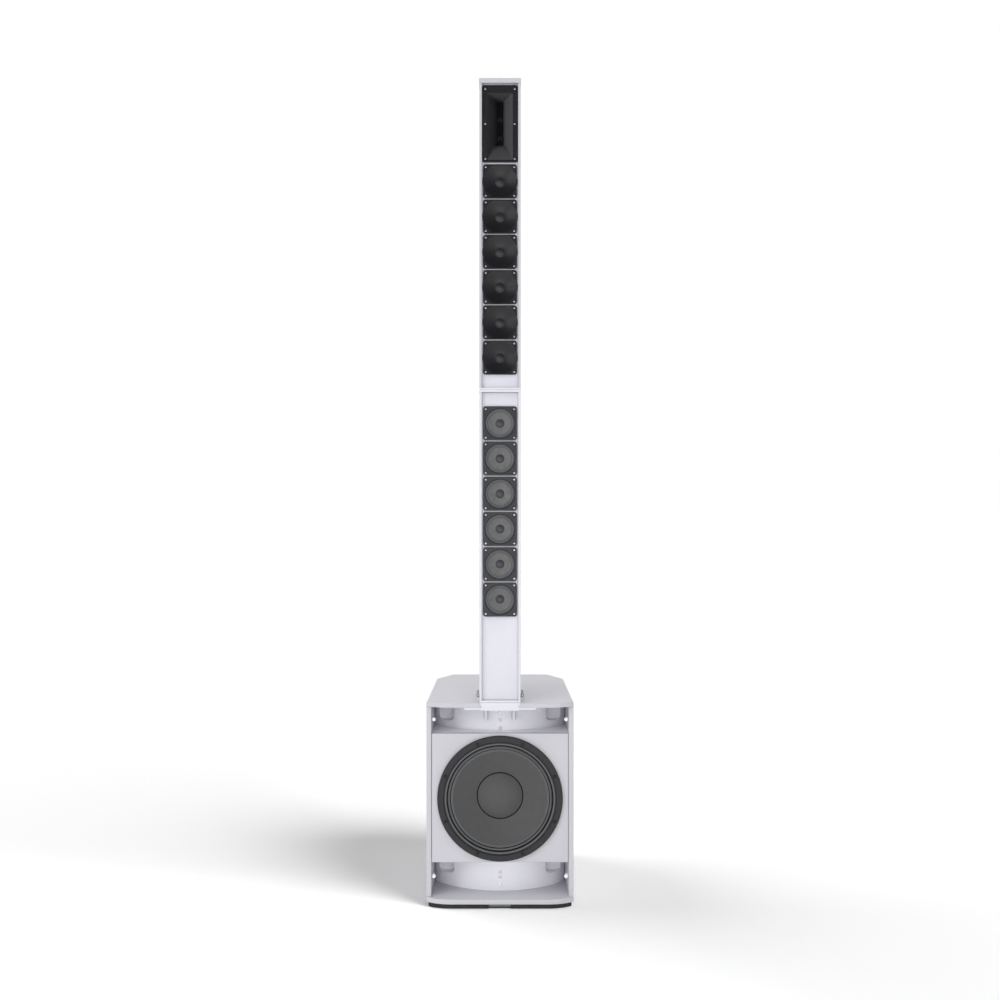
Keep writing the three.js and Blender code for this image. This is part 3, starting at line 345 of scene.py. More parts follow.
def fillet(points, steps=5, closed=True):
    """A polyline whose corners (u, v, radius) are rounded."""
    rounded = []
    count = len(points)
    for index, point in enumerate(points):
        here = Vector(point[:2])
        radius = point[2] if len(point) > 2 else 0
        at_end = not closed and index in (0, count - 1)
        if radius == 0 or at_end:
            rounded.append(tuple(here))
            continue
        before = Vector(points[index - 1][:2]) - here
        after = Vector(points[(index + 1) % count][:2]) - here
        half_angle = before.angle(after) / 2
        reach = radius / math.tan(half_angle)
        reach = min(reach, before.length * 0.5, after.length * 0.5)
        start = here + before.normalized() * reach
        end = here + after.normalized() * reach
        for share in shares(steps):
            rounded.append(tuple(
                start * (1 - share) ** 2 + here * 2 * share * (1 - share) + end * share ** 2
            ))
    return rounded


def lathe(name, profile, x, z, look, steps):
    """Turns a profile of (radius, depth) about a line from front to back; it may start on it."""
    points = []
    for step in range(steps):
        angle = 2 * math.pi * step / steps
        for radius, depth in profile:
            points.append((x + radius * math.sin(angle), depth, z + radius * math.cos(angle)))
    size = len(profile)
    spans = range(size if profile[0][0] > 0 else size - 1)
    faces = []
    for step in range(steps):
        here = step * size
        there = ((step + 1) % steps) * size
        for index in spans:
            after = (index + 1) % size
            faces.append((here + index, there + index, there + after, here + after))
    return new_object(name, points, faces, look)


def turned(name, points, x, z, look, steps, corner_steps=4):
    """A solid of revolution whose open profile starts and ends on its axis."""
    return lathe(name, fillet(points, corner_steps, closed=False), x, z, look, steps)


def prism(name, outline, axis, low, high):
    """An outline raised along an axis: x uses (depth, z), y uses (x, z), z uses (x, depth)."""
    order = {
        "x": lambda u, v, w: (w, u, v),
        "y": lambda u, v, w: (u, w, v),
        "z": lambda u, v, w: (u, v, w),
    }[axis]
    size = len(outline)
    points = [order(u, v, low) for u, v in outline] + [order(u, v, high) for u, v in outline]
    faces = [tuple(range(size)), tuple(range(size, 2 * size))]
    for index in range(size):
        after = (index + 1) % size
        faces.append((index, after, size + after, size + index))
    return new_object(name, points, faces)


def block(name, xs, depths, zs):
    outline = [(xs[0], depths[0]), (xs[1], depths[0]), (xs[1], depths[1]), (xs[0], depths[1])]
    return prism(name, outline, "z", *zs)


def rectangle(half_u, half_v, radius, centre=(0, 0), steps=6):
    u, v = centre
    corners = [(-half_u, -half_v), (half_u, -half_v), (half_u, half_v), (-half_u, half_v)]
    return fillet([(u + a, v + b, radius) for a, b in corners], steps)


def circle(radius, centre=(0, 0), steps=64):
    u, v = centre
    turns = [2 * math.pi * step / steps for step in range(steps)]
    return [(u + radius * math.cos(turn), v + radius * math.sin(turn)) for turn in turns]


def apply_modifiers(obj):
    """Turns an object's modifiers into its mesh."""
    bpy.context.view_layer.update()
    depsgraph = bpy.context.evaluated_depsgraph_get()
    mesh = bpy.data.meshes.new_from_object(obj.evaluated_get(depsgraph))
    obj.modifiers.clear()
    obj.data = mesh
    return obj


def combine(obj, others, operation):
    for other in others:
        boolean = obj.modifiers.new("join", "BOOLEAN")
        boolean.object = other
        boolean.operation = operation
        boolean.solver = "EXACT"
    apply_modifiers(obj)
    for other in others:
        bpy.data.objects.remove(other)
    return obj


def carve(obj, *cutters):
    return combine(obj, cutters, "DIFFERENCE")


def fuse(obj, *others):
    return combine(obj, others, "UNION")


def add_bevel(obj, width, segments, method):
    bevel = obj.modifiers.new("edges", "BEVEL")
    bevel.width = width * MM
    bevel.segments = segments
    bevel.limit_method = method
    bevel.miter_outer = "MITER_ARC"
    return bevel


def soften(obj, width, look, segments=3, angle=30, sharp=32, merge=True):
    """Rounds an object's edges, then gives it its look. Flat faces are merged first, if wanted."""
    with edited(obj.data) as clean:
        bmesh.ops.remove_doubles(clean, verts=clean.verts, dist=2e-6)
        if merge:
            merge_flat(clean)
    add_bevel(obj, width, segments, "ANGLE").angle_limit = math.radians(angle)
    apply_modifiers(obj)
    return finish_piece(obj, look, sharp)


def round_edges(obj, look, width_at, widest, segments=4, angle=30):
    """Rounds each sharp edge by a width that depends on where the edge is."""
    with edited(obj.data) as clean:
        bmesh.ops.remove_doubles(clean, verts=clean.verts, dist=2e-6)
        merge_flat(clean)
        share = clean.edges.layers.float.new("bevel_weight_edge")
        for edge in clean.edges:
            if edge.is_manifold and edge.calc_face_angle() > math.radians(angle):
                middle = (edge.verts[0].co + edge.verts[1].co) / 2 / MM
                edge[share] = width_at(middle.x, middle.y - FRONT, middle.z) / widest
    add_bevel(obj, widest, segments, "WEIGHT")
    apply_modifiers(obj)
    return finish_piece(obj, look)


def copy_of(node, name):
    """A new object with the same shape as a CAD node."""
    return link(bpy.data.objects.new(name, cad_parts[node].data.copy()))


def joined(name, pieces, look=None):
    """Several separate solids as one object."""
    whole = bmesh.new()
    for piece in pieces:
        whole.from_mesh(piece.data)
    mesh = bpy.data.meshes.new(name)
    whole.to_mesh(mesh)
    whole.free()
    for piece in pieces:
        bpy.data.objects.remove(piece)
    obj = link(bpy.data.objects.new(name, mesh))
    return finish_piece(obj, look) if look else obj


def screw(x, depth, z, radius, drive="cross"):
    """A screw head seen from the front, its face towards the viewer."""
    head = turned("screw", [
        (0, depth - radius * 0.34),
        (radius * 0.62, depth - radius * 0.3, radius * 0.5),
        (radius, depth - radius * 0.02, radius * 0.15),
        (radius, depth + radius * 0.4),
        (0, depth + radius * 0.4),
    ], x, z, None, 20)
    reach = radius * 0.58
    half = radius * 0.13
    bottom = depth + radius * 0.12
    front = depth - radius
    if drive == "cross":
        slots = [
            block("slot", (x - reach, x + reach), (front, bottom), (z - half, z + half)),
            block("slot", (x - half, x + half), (front, bottom), (z - reach, z + reach)),
        ]
        slot = fuse(*slots)
    else:
        slot = prism("slot", circle(radius * 0.45, (x, z), 6), "y", front, bottom)
    return carve(head, slot)


def lifted(obj, name, rise):
    """A copy of an object, moved upwards."""
    twin = link(bpy.data.objects.new(name, obj.data.copy()))
    twin.data.transform(shift(0, 0, rise))
    return twin


def screw_set(name, spots, depth, radius, look):
    """Screw heads at (x, z) spots, each turned by its own amount."""
    head = screw(0, depth, 0, radius)
    heads = []
    for number, (x, z) in enumerate(spots):
        twin = lifted(head, "head", z)
        angle = 37 * number + 11 * (number % 3)
        twin.data.transform(shift(x, 0, z) @ turn_about("Y", angle) @ shift(0, 0, -z))
        heads.append(twin)
    bpy.data.objects.remove(head)
    return joined(name, heads, look)


# ---------------- cabinet
BODY = "cabinet"
SIDES = (("left", -1), ("right", 1))
CABINET_HALF = CABINET_HIGH[0] / MM
CABINET_TOP = CABINET_HIGH[2] / MM
BAFFLE_LOW, BAFFLE_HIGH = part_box("woofer_baffle")
TOP_PANEL_LOW = CABINET_LOW[2] / MM
TOP_ROUNDING = 4.0
DOCK_LOW_HALF, DOCK_HIGH_HALF = 46, 51.4
DOCK_ZONE_HALF, DOCK_ZONE_DEPTH = 63, 140
DOCK_STRIP_HALF = 89
PLINTH_BOTTOM, PLINTH_NOTCH = 1.1, 0.6
BAR_HALF = 27.2
LATCH_X, LATCH_Z = 56.5, 515.5


def node_zs(node):
    """The bottom and top of a CAD node."""
    return [corner.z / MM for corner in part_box(node)]


def middle_z(node):
    return sum(node_zs(node)) / 2


def cad_copy(node, name, width, look, body=BODY, merge=True):
    """The CAD node's shape with rounded edges, in its body."""
    obj = soften(copy_of(node, name), width, look, merge=merge)
    return add_piece(obj, body, look, node)


def make_cabinet():
    top = copy_of("cabinet_top_panel", "top_panel")
    carve(top, flare("flare_opening", 0.3))
    round_edges(top, "cabinet_paint", top_edge_width, TOP_ROUNDING)
    add_piece(top, BODY, "cabinet_paint", "cabinet_top_panel")
    cad_copy("cabinet_bottom_panel", "bottom_panel", 1.2, "cabinet_paint")
    for side, _ in SIDES:
        cad_copy(f"cabinet_{side}_wall", f"{side}_wall", 0.8, "cabinet_paint")
    cad_copy("cabinet_rear_wall", "rear_wall", 1.0, "cabinet_paint")


def flare(name, margin):
    """The dock's front, wider at the top than at the bottom; with a margin, its opening."""
    low, low_z = DOCK_LOW_HALF + margin, TOP_PANEL_LOW - 0.5
    high, high_z = DOCK_HIGH_HALF + margin, CABINET_TOP + margin
    outline = [(-low, low_z), (low, low_z), (high, high_z), (-high, high_z)]
    return prism(name, outline, "y", -3 if margin else 1.2, 8)


def top_edge_width(x, depth, z):
    """A generous round-over along the top panel's upper outer edge, small ones elsewhere."""
    beside_dock = abs(x) < DOCK_ZONE_HALF and depth < DOCK_ZONE_DEPTH
    if z > CABINET_TOP - 0.5 and not beside_dock:
        return TOP_ROUNDING
    return 0.6


def make_base():
    """A black plinth, drawn down to just above the floor as painted shade under the cabinet, with a grey
    bar in its front notch.
    """
    plinth = copy_of("cabinet_base", "base_plinth")
    # Its black is drawn down almost to the floor, over the gap where the cabinet stands on its pads:
    # painted shade in the shadow under the cabinet.
    for vertex in plinth.data.vertices:
        if 2 * MM < vertex.co.z < 3.5 * MM:
            vertex.co.z = PLINTH_BOTTOM * MM
        elif 0.5 * MM < vertex.co.z < 2 * MM:
            vertex.co.z = PLINTH_NOTCH * MM
    soften(plinth, 0.4, "foot_rubber", 2, 35)
    add_piece(plinth, BODY, "foot_rubber", "cabinet_base")
    bar = block("base_front_bar", (-BAR_HALF, BAR_HALF), (8.4, 10.2), (4.4, 11.7))
    soften(bar, 0.5, "bar_grey", 3)
    add_piece(bar, BODY, "foot_rubber")


# ---------------- woofer
WOOFER_Z = middle_z("woofer_basket")
FLANGE_RADIUS = 156
BAFFLE_HOLE = 144
BOLT_CIRCLE = 146.3
BOLTS = 8
WINDOWS = 6
GASKET_RADIUS = 136.4
WOOFER_FACE = 16
CONE_RIM = 119.6
CONE_RIM_DEPTH, CONE_NECK_DEPTH = 21.5, 52
CONE_CURVE = 1.12
DUST_CAP = 57
DUST_CAP_BULGE = 13.5


def make_baffle():
    low, high = BAFFLE_LOW / MM, BAFFLE_HIGH / MM
    front, back = low.y - FRONT, high.y - FRONT
    board = block("woofer_board", (low.x, high.x), (front, back), (low.z, high.z))
    hole = prism("hole", circle(BAFFLE_HOLE, (0, WOOFER_Z), 128), "y", front - 5, back + 5)
    carve(board, hole)
    soften(board, 2.2, "cabinet_paint", 4)
    add_piece(board, BODY, "cabinet_paint", "woofer_baffle")


def make_woofer_frame():
    face = WOOFER_FACE
    rim = fillet([
        (GASKET_RADIUS, face + 4), (GASKET_RADIUS, face + 2.2, 0.8), (139.2, face + 0.9, 0.6),
        (139.9, face + 1.8, 0.3), (140.8, face + 1.8, 0.3), (141.4, face, 0.5),
        (FLANGE_RADIUS, face, 2.2), (FLANGE_RADIUS, 23.6, 0.4),
        (143, 23.6), (142.3, 31), (74, 112), (25.6, 112), (25.6, 108), (71, 108), (138.5, 30),
    ], 5)
    frame_ring = lathe("woofer_frame", rim, 0, WOOFER_Z, None, 128)
    windows = []
    for number in range(WINDOWS):
        window = block("window", (-25, 25), (40, 102), (84, 133))
        window.data.transform(shift(0, 0, WOOFER_Z) @ turn_about("Y", 360 * number / WINDOWS))
        windows.append(window)
    carve(frame_ring, *windows)
    holes = []
    screws = []
    for number in range(BOLTS):
        angle = 2 * math.pi * (number + 0.5) / BOLTS
        x, z = BOLT_CIRCLE * math.sin(angle), WOOFER_Z + BOLT_CIRCLE * math.cos(angle)
        holes.append(prism("hole", circle(4.6, (x, z), 28), "y", face - 2, face + 2.4))
        screws.append(screw(x, face + 0.9, z, 3.7, "hex"))
    carve(frame_ring, *holes)
    finish_piece(frame_ring, "basket_metal")
    add_piece(frame_ring, BODY, "basket_metal", "woofer_basket")
    add_piece(joined("woofer_screws", screws, "screw_black"), BODY, "dark_metal")
    magnet = turned("woofer_motor", [
        (0, 112.3), (70, 112.3, 1), (70, 118, 0.5), (88, 119, 3), (88, 148, 3), (70, 150, 0.5),
        (70, 156, 2), (12, 156, 2), (12, 150), (0, 150),
    ], 0, WOOFER_Z, "dark_metal", 96, 5)
    add_piece(magnet, BODY, "dark_metal", "woofer_magnet")


def sheet(front, thickness):
    """A closed profile: a front line of (radius, depth), and the same line behind it."""
    return front + [(radius, depth + thickness) for radius, depth in reversed(front)]


def roll_line(points, steps=6):
    """A smooth line through the tops and bottoms of a surround's rolls."""
    line = []
    for (r0, d0), (r1, d1) in zip(points, points[1:]):
        for step in range(steps):
            share = step / steps
            ease = (1 - math.cos(math.pi * share)) / 2
            line.append((r0 + (r1 - r0) * share, d0 + (d1 - d0) * ease))
    line.append(points[-1])
    return line


def make_woofer_surround():
    front = roll_line([
        (CONE_RIM - 2.2, 21.6), (121.6, 22.3), (126.4, 17.4),
        (130.8, 21.8), (134.2, 17.6), (GASKET_RADIUS, 19.6),
    ])
    surround = lathe(
        "woofer_surround_rolls", sheet(front, 0.9), 0, WOOFER_Z, "surround_rubber", 144)
    bend_radially(surround)
    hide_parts("woofer_surround")
    gasket = lathe("woofer_gasket", fillet([
        (133.5, 19.3), (133.5, 17.2, 0.6), (137.3, 17.2, 0.6), (137.3, 19.3),
    ], 4), 0, WOOFER_Z, "gasket_rubber", 144)
    add_piece(gasket, BODY, "basket_metal")
    # Near-black bands laid just in front of the rolls' valleys: painted shade in the creases of the
    # surround.
    valley_shades = []
    for low, high in ((129.7, 132.6), (121.9, 124.6)):
        line = [(radius, depth - 0.25) for radius, depth in front if low <= radius <= high]
        valley_shades.append(lathe("groove", sheet(line, 0.6), 0, WOOFER_Z, None, 144))
    valley_shades = joined("woofer_surround_valley_shades", valley_shades, "throat_black")
    bend_radially(valley_shades)


def bend_radially(obj):
    """Bakes the object's place into its mesh; nothing bends it."""
    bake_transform(obj)


def make_woofer_cone():
    edge = CONE_NECK_DEPTH
    neck = edge + 0.8
    front = [(
        DUST_CAP + (CONE_RIM - DUST_CAP) * share,
        neck - (neck - CONE_RIM_DEPTH) * share ** CONE_CURVE,
    ) for share in shares(22)]
    former = [
        (26, 66), (24, 68), (24, 100), (22.6, 100), (22.6, 66.5), (25, 63.5),
        (DUST_CAP - 1.5, edge + 0.9),
    ]
    cone = lathe("woofer_cone_body", sheet(front, 1.3) + former, 0, WOOFER_Z, "woofer_cone", 144)
    add_piece(cone, "woofer_cone", "woofer_cone", "woofer_cone")
    dome = []
    cap_radius = DUST_CAP - 0.6
    sphere = (cap_radius ** 2 + DUST_CAP_BULGE ** 2) / (2 * DUST_CAP_BULGE)
    for share in shares(18):
        radius = cap_radius * share
        depth = edge - DUST_CAP_BULGE + sphere - math.sqrt(sphere ** 2 - radius ** 2)
        dome.append((radius, depth))
    cap = lathe("woofer_dust_cap", sheet(dome, 0.9), 0, WOOFER_Z, "woofer_cone", 128)
    add_piece(cap, "woofer_cone", "woofer_cone")
    # A bead of glue where the cap meets the cone, coloured near-black as painted shade in that join.
    section = circle(1.25, (DUST_CAP + 0.3, edge + 0.1), 10)
    bead = lathe("woofer_cap_bead", section, 0, WOOFER_Z, "throat_black", 128)
    add_piece(bead, "woofer_cone", "woofer_cone")


# ---------------- bass ports
WALL_RADIUS = 200
WALL_FRONT = 71
WALL_HALF = 168.6
WALL_SKIN = 3
MOUTH_INNER, MOUTH_OUTER = 117, 156
MOUTH_CORNER = 14
UPPER_MOUTH = (446, 490)
LOWER_MOUTH = (56, 98)
DUCT_END = 150
OUTLET_START = 122
DOCK_RIB_X = 35
SLOT_HALF = 1.4
SLOT_LOW = 456
STUD_X = 165
WALL_SCREW_ZS = (456, 436, 72, 60)
PLAIN_BOSS_ZS = (472, 39)
RIB_SLOTS = [sign * (DOCK_RIB_X + offset) for sign in (-1, 1) for offset in (-4.2, 4.2)]


def wall_depth(x, radius=WALL_RADIUS):
    return WALL_FRONT + WALL_RADIUS - math.sqrt(radius ** 2 - x ** 2)


def make_shroud(name, node, shelf_at_bottom, mouth, slots=()):
    """A curved wall and a shelf, with a folded duct behind each of its two mouths."""
    low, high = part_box(node)
    bottom, top = low.z / MM, high.z / MM
    half = high.x / MM
    start = low.y / MM - FRONT
    xs = [WALL_HALF * (2 * share - 1) for share in shares(72)]
    front_line = [(x, wall_depth(x)) for x in xs]
    back_line = [(x, wall_depth(x, WALL_RADIUS - WALL_SKIN)) for x in xs]
    wall = prism(name, front_line + back_line[::-1], "z", bottom, top)
    shelf_zs = (bottom, bottom + WALL_SKIN) if shelf_at_bottom else (top - WALL_SKIN, top)
    shelf = prism("shelf", back_line + [(half, start), (-half, start)], "z", *shelf_zs)
    fuse(wall, shelf)
    middle = (MOUTH_INNER + MOUTH_OUTER) / 2
    half_width = (MOUTH_OUTER - MOUTH_INNER) / 2
    centre_z = sum(mouth) / 2
    half_height = (mouth[1] - mouth[0]) / 2
    outer = MOUTH_CORNER + WALL_SKIN
    before_wall = front_line + [(WALL_HALF + 30, start - 5), (-WALL_HALF - 30, start - 5)]
    for side in (-1, 1):
        spot = (side * middle, centre_z)
        outline = rectangle(half_width + WALL_SKIN, half_height + WALL_SKIN, outer, spot, 10)
        skin = prism("skin", outline, "y", 100, DUCT_END)
        carve(skin, prism("air", before_wall, "z", bottom - 20, top + 20))
        fuse(wall, skin)
        outline = rectangle(half_width, half_height, MOUTH_CORNER, spot, 10)
        bore = prism("bore", outline, "y", 60, DUCT_END - WALL_SKIN)
        outlet = block(
            "outlet", sorted(side * (MOUTH_INNER + skins * WALL_SKIN) for skins in (-2, 1)),
            (OUTLET_START, DUCT_END - WALL_SKIN), (mouth[0] + MOUTH_CORNER, mouth[1] - MOUTH_CORNER))
        carve(wall, bore, outlet)
    for x in slots:
        depths = (60, wall_depth(x) + 2)
        carve(wall, block("slot", (x - SLOT_HALF, x + SLOT_HALF), depths, (SLOT_LOW, top + 5)))
    soften(wall, 1.6, "port_moulding", 4, 40, 40)
    add_piece(wall, BODY, "white_moulding", node)


def make_port_details():
    """Wall screws on small bosses, and the studs that a grille would snap onto."""
    screws = [screw(0, WALL_FRONT - 3.2, z, 3.6) for z in WALL_SCREW_ZS]
    add_piece(joined("port_wall_screws", screws, "screw_grey"), BODY, "white_moulding")
    bosses = []
    front, foot = WALL_FRONT - 2, WALL_FRONT + 1.2
    for z in (PLAIN_BOSS_ZS[0], *WALL_SCREW_ZS, PLAIN_BOSS_ZS[1]):
        wide = 4.6 if z in PLAIN_BOSS_ZS else 4.2
        profile = [(0, front), (wide, front, 1), (wide + 1.6, foot), (0, foot)]
        bosses.append(turned("boss", profile, 0, z, None, 40))
    add_piece(joined("port_wall_bosses", bosses, "port_moulding"), BODY, "white_moulding")
    for level, z in (("upper", 464), ("lower", 73)):
        for side, sign in SIDES:
            stud = turned("stud", [
                (0, 27), (3.4, 27.4, 1), (5, 29.6, 1.2), (5, 33, 0.8), (3, 34.5, 0.8), (3, 44), (0, 44),
            ], sign * STUD_X, z, None, 48, 5)
            xs = sorted((sign * (STUD_X - 2), sign * (STUD_X + 5.6)))
            arm = block("arm", xs, (36, 46), (z - 4, z + 4))
            fuse(stud, arm)
            soften(stud, 0.6, "stud_white", 2)
            stud.name = f"{level}_{side}_grille_stud"
            add_piece(stud, BODY, "white_moulding")


# ---------------- dock and latches
def make_dock():
    cad_copy("column_dock", "dock", 0.6, "white_moulding", merge=False)
    front = soften(flare("dock_flared_front", 0), 0.7, "white_moulding", 3)
    add_piece(front, BODY, "white_moulding")
    zs = (TOP_PANEL_LOW - 5.6, TOP_PANEL_LOW - 0.2)
    strip = block("dock_strip", (-DOCK_STRIP_HALF, DOCK_STRIP_HALF), (1.4, 10), zs)
    add_piece(soften(strip, 0.6, "white_moulding", 3), BODY, "white_moulding")
    rim = [(52, 36), (61.3, 95.5), (52, 135), (52, 130), (57, 95.5), (52, 62)]
    for side, sign in SIDES:
        outline = [(sign * x, depth) for x, depth in rim]
        raised = prism(f"dock_rim_{side}", outline, "z", CABINET_TOP - 1, CABINET_TOP + 1.1)
        add_piece(soften(raised, 0.5, "port_moulding", 3), BODY, "white_moulding")


def make_latches():
    """A lever on each side of the dock, with a ridged grip and a pin."""
    for side, sign in SIDES:
        body = f"column_latch_{side}"
        lever = copy_of(body, f"{side}_latch_lever")
        low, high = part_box(body)
        x = sign * LATCH_X
        front = low.y / MM - FRONT
        soften(lever, 0.7, "latch_plastic", 3)
        add_piece(lever, body, "latch_plastic", body)
        ridges = []
        for number in range(3):
            z = high.z / MM - 1.6 - 1.9 * number
            ridges.append(prism("ridge", fillet([
                (front - 0.45, z - 0.45, 0.3), (front + 0.4, z - 0.6),
                (front + 0.4, z + 0.6), (front - 0.45, z + 0.45, 0.3),
            ], 3), "x", x - 1.3, x + 1.3))
        add_piece(joined(f"{side}_latch_grip", ridges, "latch_plastic"), body, "latch_plastic")
        cap = turned(f"{side}_latch_pin", [
            (0, front - 0.9), (2.2, front - 0.9, 0.7), (2.4, front - 0.05, 0.1), (0, front - 0.05),
        ], x, LATCH_Z, "screw_steel", 32)
        add_piece(cap, BODY, "dark_metal")


# ---------------- column sections
COLUMN_HALF = 51
COLUMN_FRONT = 3
COLUMN_BACK = 122
SHELL_CORNER = 8
PLATE_HALF = 42
PLATE_CORNER = 7.5
PLATE_FRONT = 7.7
PLATE_BACK = 11.7
SCREW_SPOT = 35.4
SCREW_HOLE = 3.1
DRIVERS = 6  # in each section
MIDRANGE_HOLE = 36.9
CORNER_SPOTS = [(x, z) for x in (-SCREW_SPOT, SCREW_SPOT) for z in (SCREW_SPOT, -SCREW_SPOT)]
PEDESTAL_HALF = 40
SPIGOT_HALF = 29.4
SOCKET_HALF = 30


def make_shell(section):
    lip, thin, step = 45, 47.5, 19
    inner_back = COLUMN_BACK - 3.5
    half, front, back = COLUMN_HALF, COLUMN_FRONT, COLUMN_BACK
    outline = fillet([
        (lip, front, 0.7), (half, front, 1.3), (half, back, SHELL_CORNER),
        (-half, back, SHELL_CORNER), (-half, front, 1.3), (-lip, front, 0.7),
        (-lip, step), (-thin, step), (-thin, inner_back, 5),
        (thin, inner_back, 5), (thin, step), (lip, step),
    ], 8)
    body, node, look = f"{section}_column", f"{section}_column_shell", "column_paint"
    shell = prism(f"{section}_shell", outline, "z", *node_zs(node))
    # The upper shell takes the darker copy of the paint: painted shade.
    soften(shell, 0.35, "upper_shell_paint" if section == "upper" else "shell_paint", 2, 50)
    add_piece(shell, body, look, node)
    cad_copy(f"{section}_column_baffle", f"{section}_driver_board", 0.4, look, body)


def end_plate(name, zs, overhang, width, *blocks, socket=None):
    """A plate on a section's end, with the blocks that reach into its neighbours."""
    half = COLUMN_HALF + overhang
    front, back = COLUMN_FRONT - overhang, COLUMN_BACK + overhang
    plate = prism(name, fillet([
        (-half, front, 1.6), (half, front, 1.6), (half, back, SHELL_CORNER), (-half, back, SHELL_CORNER),
    ], 8), "z", *zs)
    fuse(plate, *[block("block", *sizes) for sizes in blocks])
    if socket:
        carve(plate, block("socket", *socket))
    return soften(plate, width, "white_moulding", 4)


def make_end_plates():
    bottom = node_zs("lower_column_foot")[0]
    shell_low, shell_high = node_zs("lower_column_shell")
    seam = node_zs("lower_column_top_cap")[1]
    upper_low, upper_high = node_zs("upper_column_shell")
    top = node_zs("upper_column_top_cap")[1]
    base = CABINET_TOP + 0.3
    plug = ((-43, 43), (20, 112))
    spigot = (-SPIGOT_HALF, SPIGOT_HALF)
    foot = end_plate(
        "lower_foot_plate", (base, shell_low - 0.3), 0, 0.8,
        (*plug, (shell_low - 1, shell_low + 14)),
        ((-PEDESTAL_HALF, PEDESTAL_HALF), (9, COLUMN_BACK - 2), (base - 2, base + 1)),
        (spigot, (18.6, 63.4), (bottom, base + 1)),
    )
    add_piece(foot, "lower_column", "white_moulding", "lower_column_foot")
    cap = end_plate(
        "lower_cap_plate", (shell_high + 0.3, seam), 0.8, 1.2,
        (*plug, (shell_high - 16, shell_high + 1)),
        socket=((-SOCKET_HALF, SOCKET_HALF), (22, 68), (seam - 14, seam + 1)),
    )
    add_piece(cap, "lower_column", "white_moulding", "lower_column_top_cap")
    foot = end_plate(
        "upper_foot_plate", (seam + 0.3, upper_low - 0.3), 0, 0.7,
        (*plug, (upper_low - 1, upper_low + 12)),
        (spigot, (22.6, 67.4), (seam - 11.7, seam + 1.3)),
    )
    add_piece(foot, "upper_column", "white_moulding", "upper_column_foot")
    cap = end_plate(
        "upper_cap_plate", (upper_high + 0.3, top), 1, 1.6,
        (*plug, (upper_high - 10, upper_high + 1)),
    )
    # The upper cap takes the darker copy of the paint as well: painted shade.
    finish_piece(cap, "upper_shell_paint")
    add_piece(cap, "upper_column", "white_moulding", "upper_column_top_cap")


def sunk_holes(spots, radius, front, depth):
    """Cutters for shallow round recesses with a chamfered edge."""
    profile = [
        (0, front - 1), (radius + 1.1, front - 1), (radius, front + 0.5),
        (radius, front + depth), (0, front + depth),
    ]
    return [lathe("hole", profile, x, z, None, 28) for x, z in spots]


def front_plate(name, half_height=PLATE_HALF, half_width=PLATE_HALF, corner=PLATE_CORNER, z=0):
    """A rounded plate that lies on the column's front."""
    outline = rectangle(half_width, half_height, corner, (0, z), 8)
    return prism(name, outline, "y", PLATE_FRONT, PLATE_BACK)


# ---------------- lower drivers
def make_midranges():
    """One driver is made at the origin, then copied to each place."""
    hole = MIDRANGE_HOLE
    plate = front_plate("plate")
    carve(plate, lathe("hole", [
        (0, 0), (hole + 1.1, 0), (hole + 1.1, PLATE_FRONT), (hole, PLATE_FRONT + 1), (hole, 20), (0, 20),
    ], 0, 0, None, 72))
    carve(plate, *sunk_holes(CORNER_SPOTS, SCREW_HOLE, PLATE_FRONT, 2.2))
    soften(plate, 0.9, "driver_frame", 3, 35)
    basket = lathe("basket", [
        (hole - 0.6, 10.4), (hole + 0.6, 10.4), (hole, 15), (30, 32), (26, 42), (26, 44.5), (29, 45),
        (29, 58), (27, 60), (0, 60), (0, 43.5), (12, 43.5), (28, 31), (35.5, 14.5),
    ], 0, 0, "driver_frame", 48)
    body = joined("driver", [plate, basket])
    front = roll_line([(27.6, 10.6), (29.3, 11.3), (33.1, 8.2), (hole - 0.2, 10.9)], 7)
    surround = lathe("surround", sheet(front, 0.7), 0, 0, "surround_rubber", 72)
    front = [(10.2 + 18.4 * share, 19 - 8 * share ** 1.15) for share in shares(12)]
    former = [(9, 38), (7.5, 38), (7.5, 21)]
    cone = lathe("cone", sheet(front, 0.9) + former, 0, 0, "midrange_cone", 80)
    rings = []
    for radius, depth in ((24.5, 12.75), (20.5, 14.7), (16.5, 16.6)):
        rings.append(lathe("ring", circle(0.28, (radius, depth), 8), 0, 0, None, 72))
    rings = joined("rings", rings, "midrange_cone")
    dome = [(10.9 * share, 18.7 - 4 * (1 - share ** 2)) for share in shares(10)]
    under = [(radius, depth + 0.6) for radius, depth in reversed(dome)]
    cap = lathe("cap", dome + [(11.2, 18.6)] + under, 0, 0, "cap_grey", 64)
    screws = screw_set("screws", CORNER_SPOTS, PLATE_FRONT + 0.4, 2.7, "screw_steel")
    for number in range(1, DRIVERS + 1):
        node, moving = f"midrange_frame_{number}", f"midrange_cone_{number}"
        z = middle_z(node)
        plate = lifted(body, f"midrange_driver_{number}", z)
        finish_piece(plate, "driver_frame")
        add_piece(plate, "lower_column", "driver_frame", node)
        add_piece(lifted(screws, f"midrange_screws_{number}", z), "lower_column", "dark_metal")
        add_piece(lifted(cone, f"midrange_diaphragm_{number}", z), moving, "midrange_cone", moving)
        add_piece(lifted(rings, f"midrange_rings_{number}", z), moving, "midrange_cone")
        add_piece(lifted(cap, f"midrange_cap_{number}", z), moving, "midrange_cone")
        roll = lifted(surround, f"midrange_surround_{number}", z)
        bend_radially(roll)
    for template in (body, surround, cone, rings, cap, screws):
        bpy.data.objects.remove(template)


# ---------------- upper drivers
DISC_RADIUS = 43.5
BOWL_RADIUS, DOME_RADIUS = 42.3, 11.75
BOWL_CLIP = 39.2  # the bowl is cut flat above and below


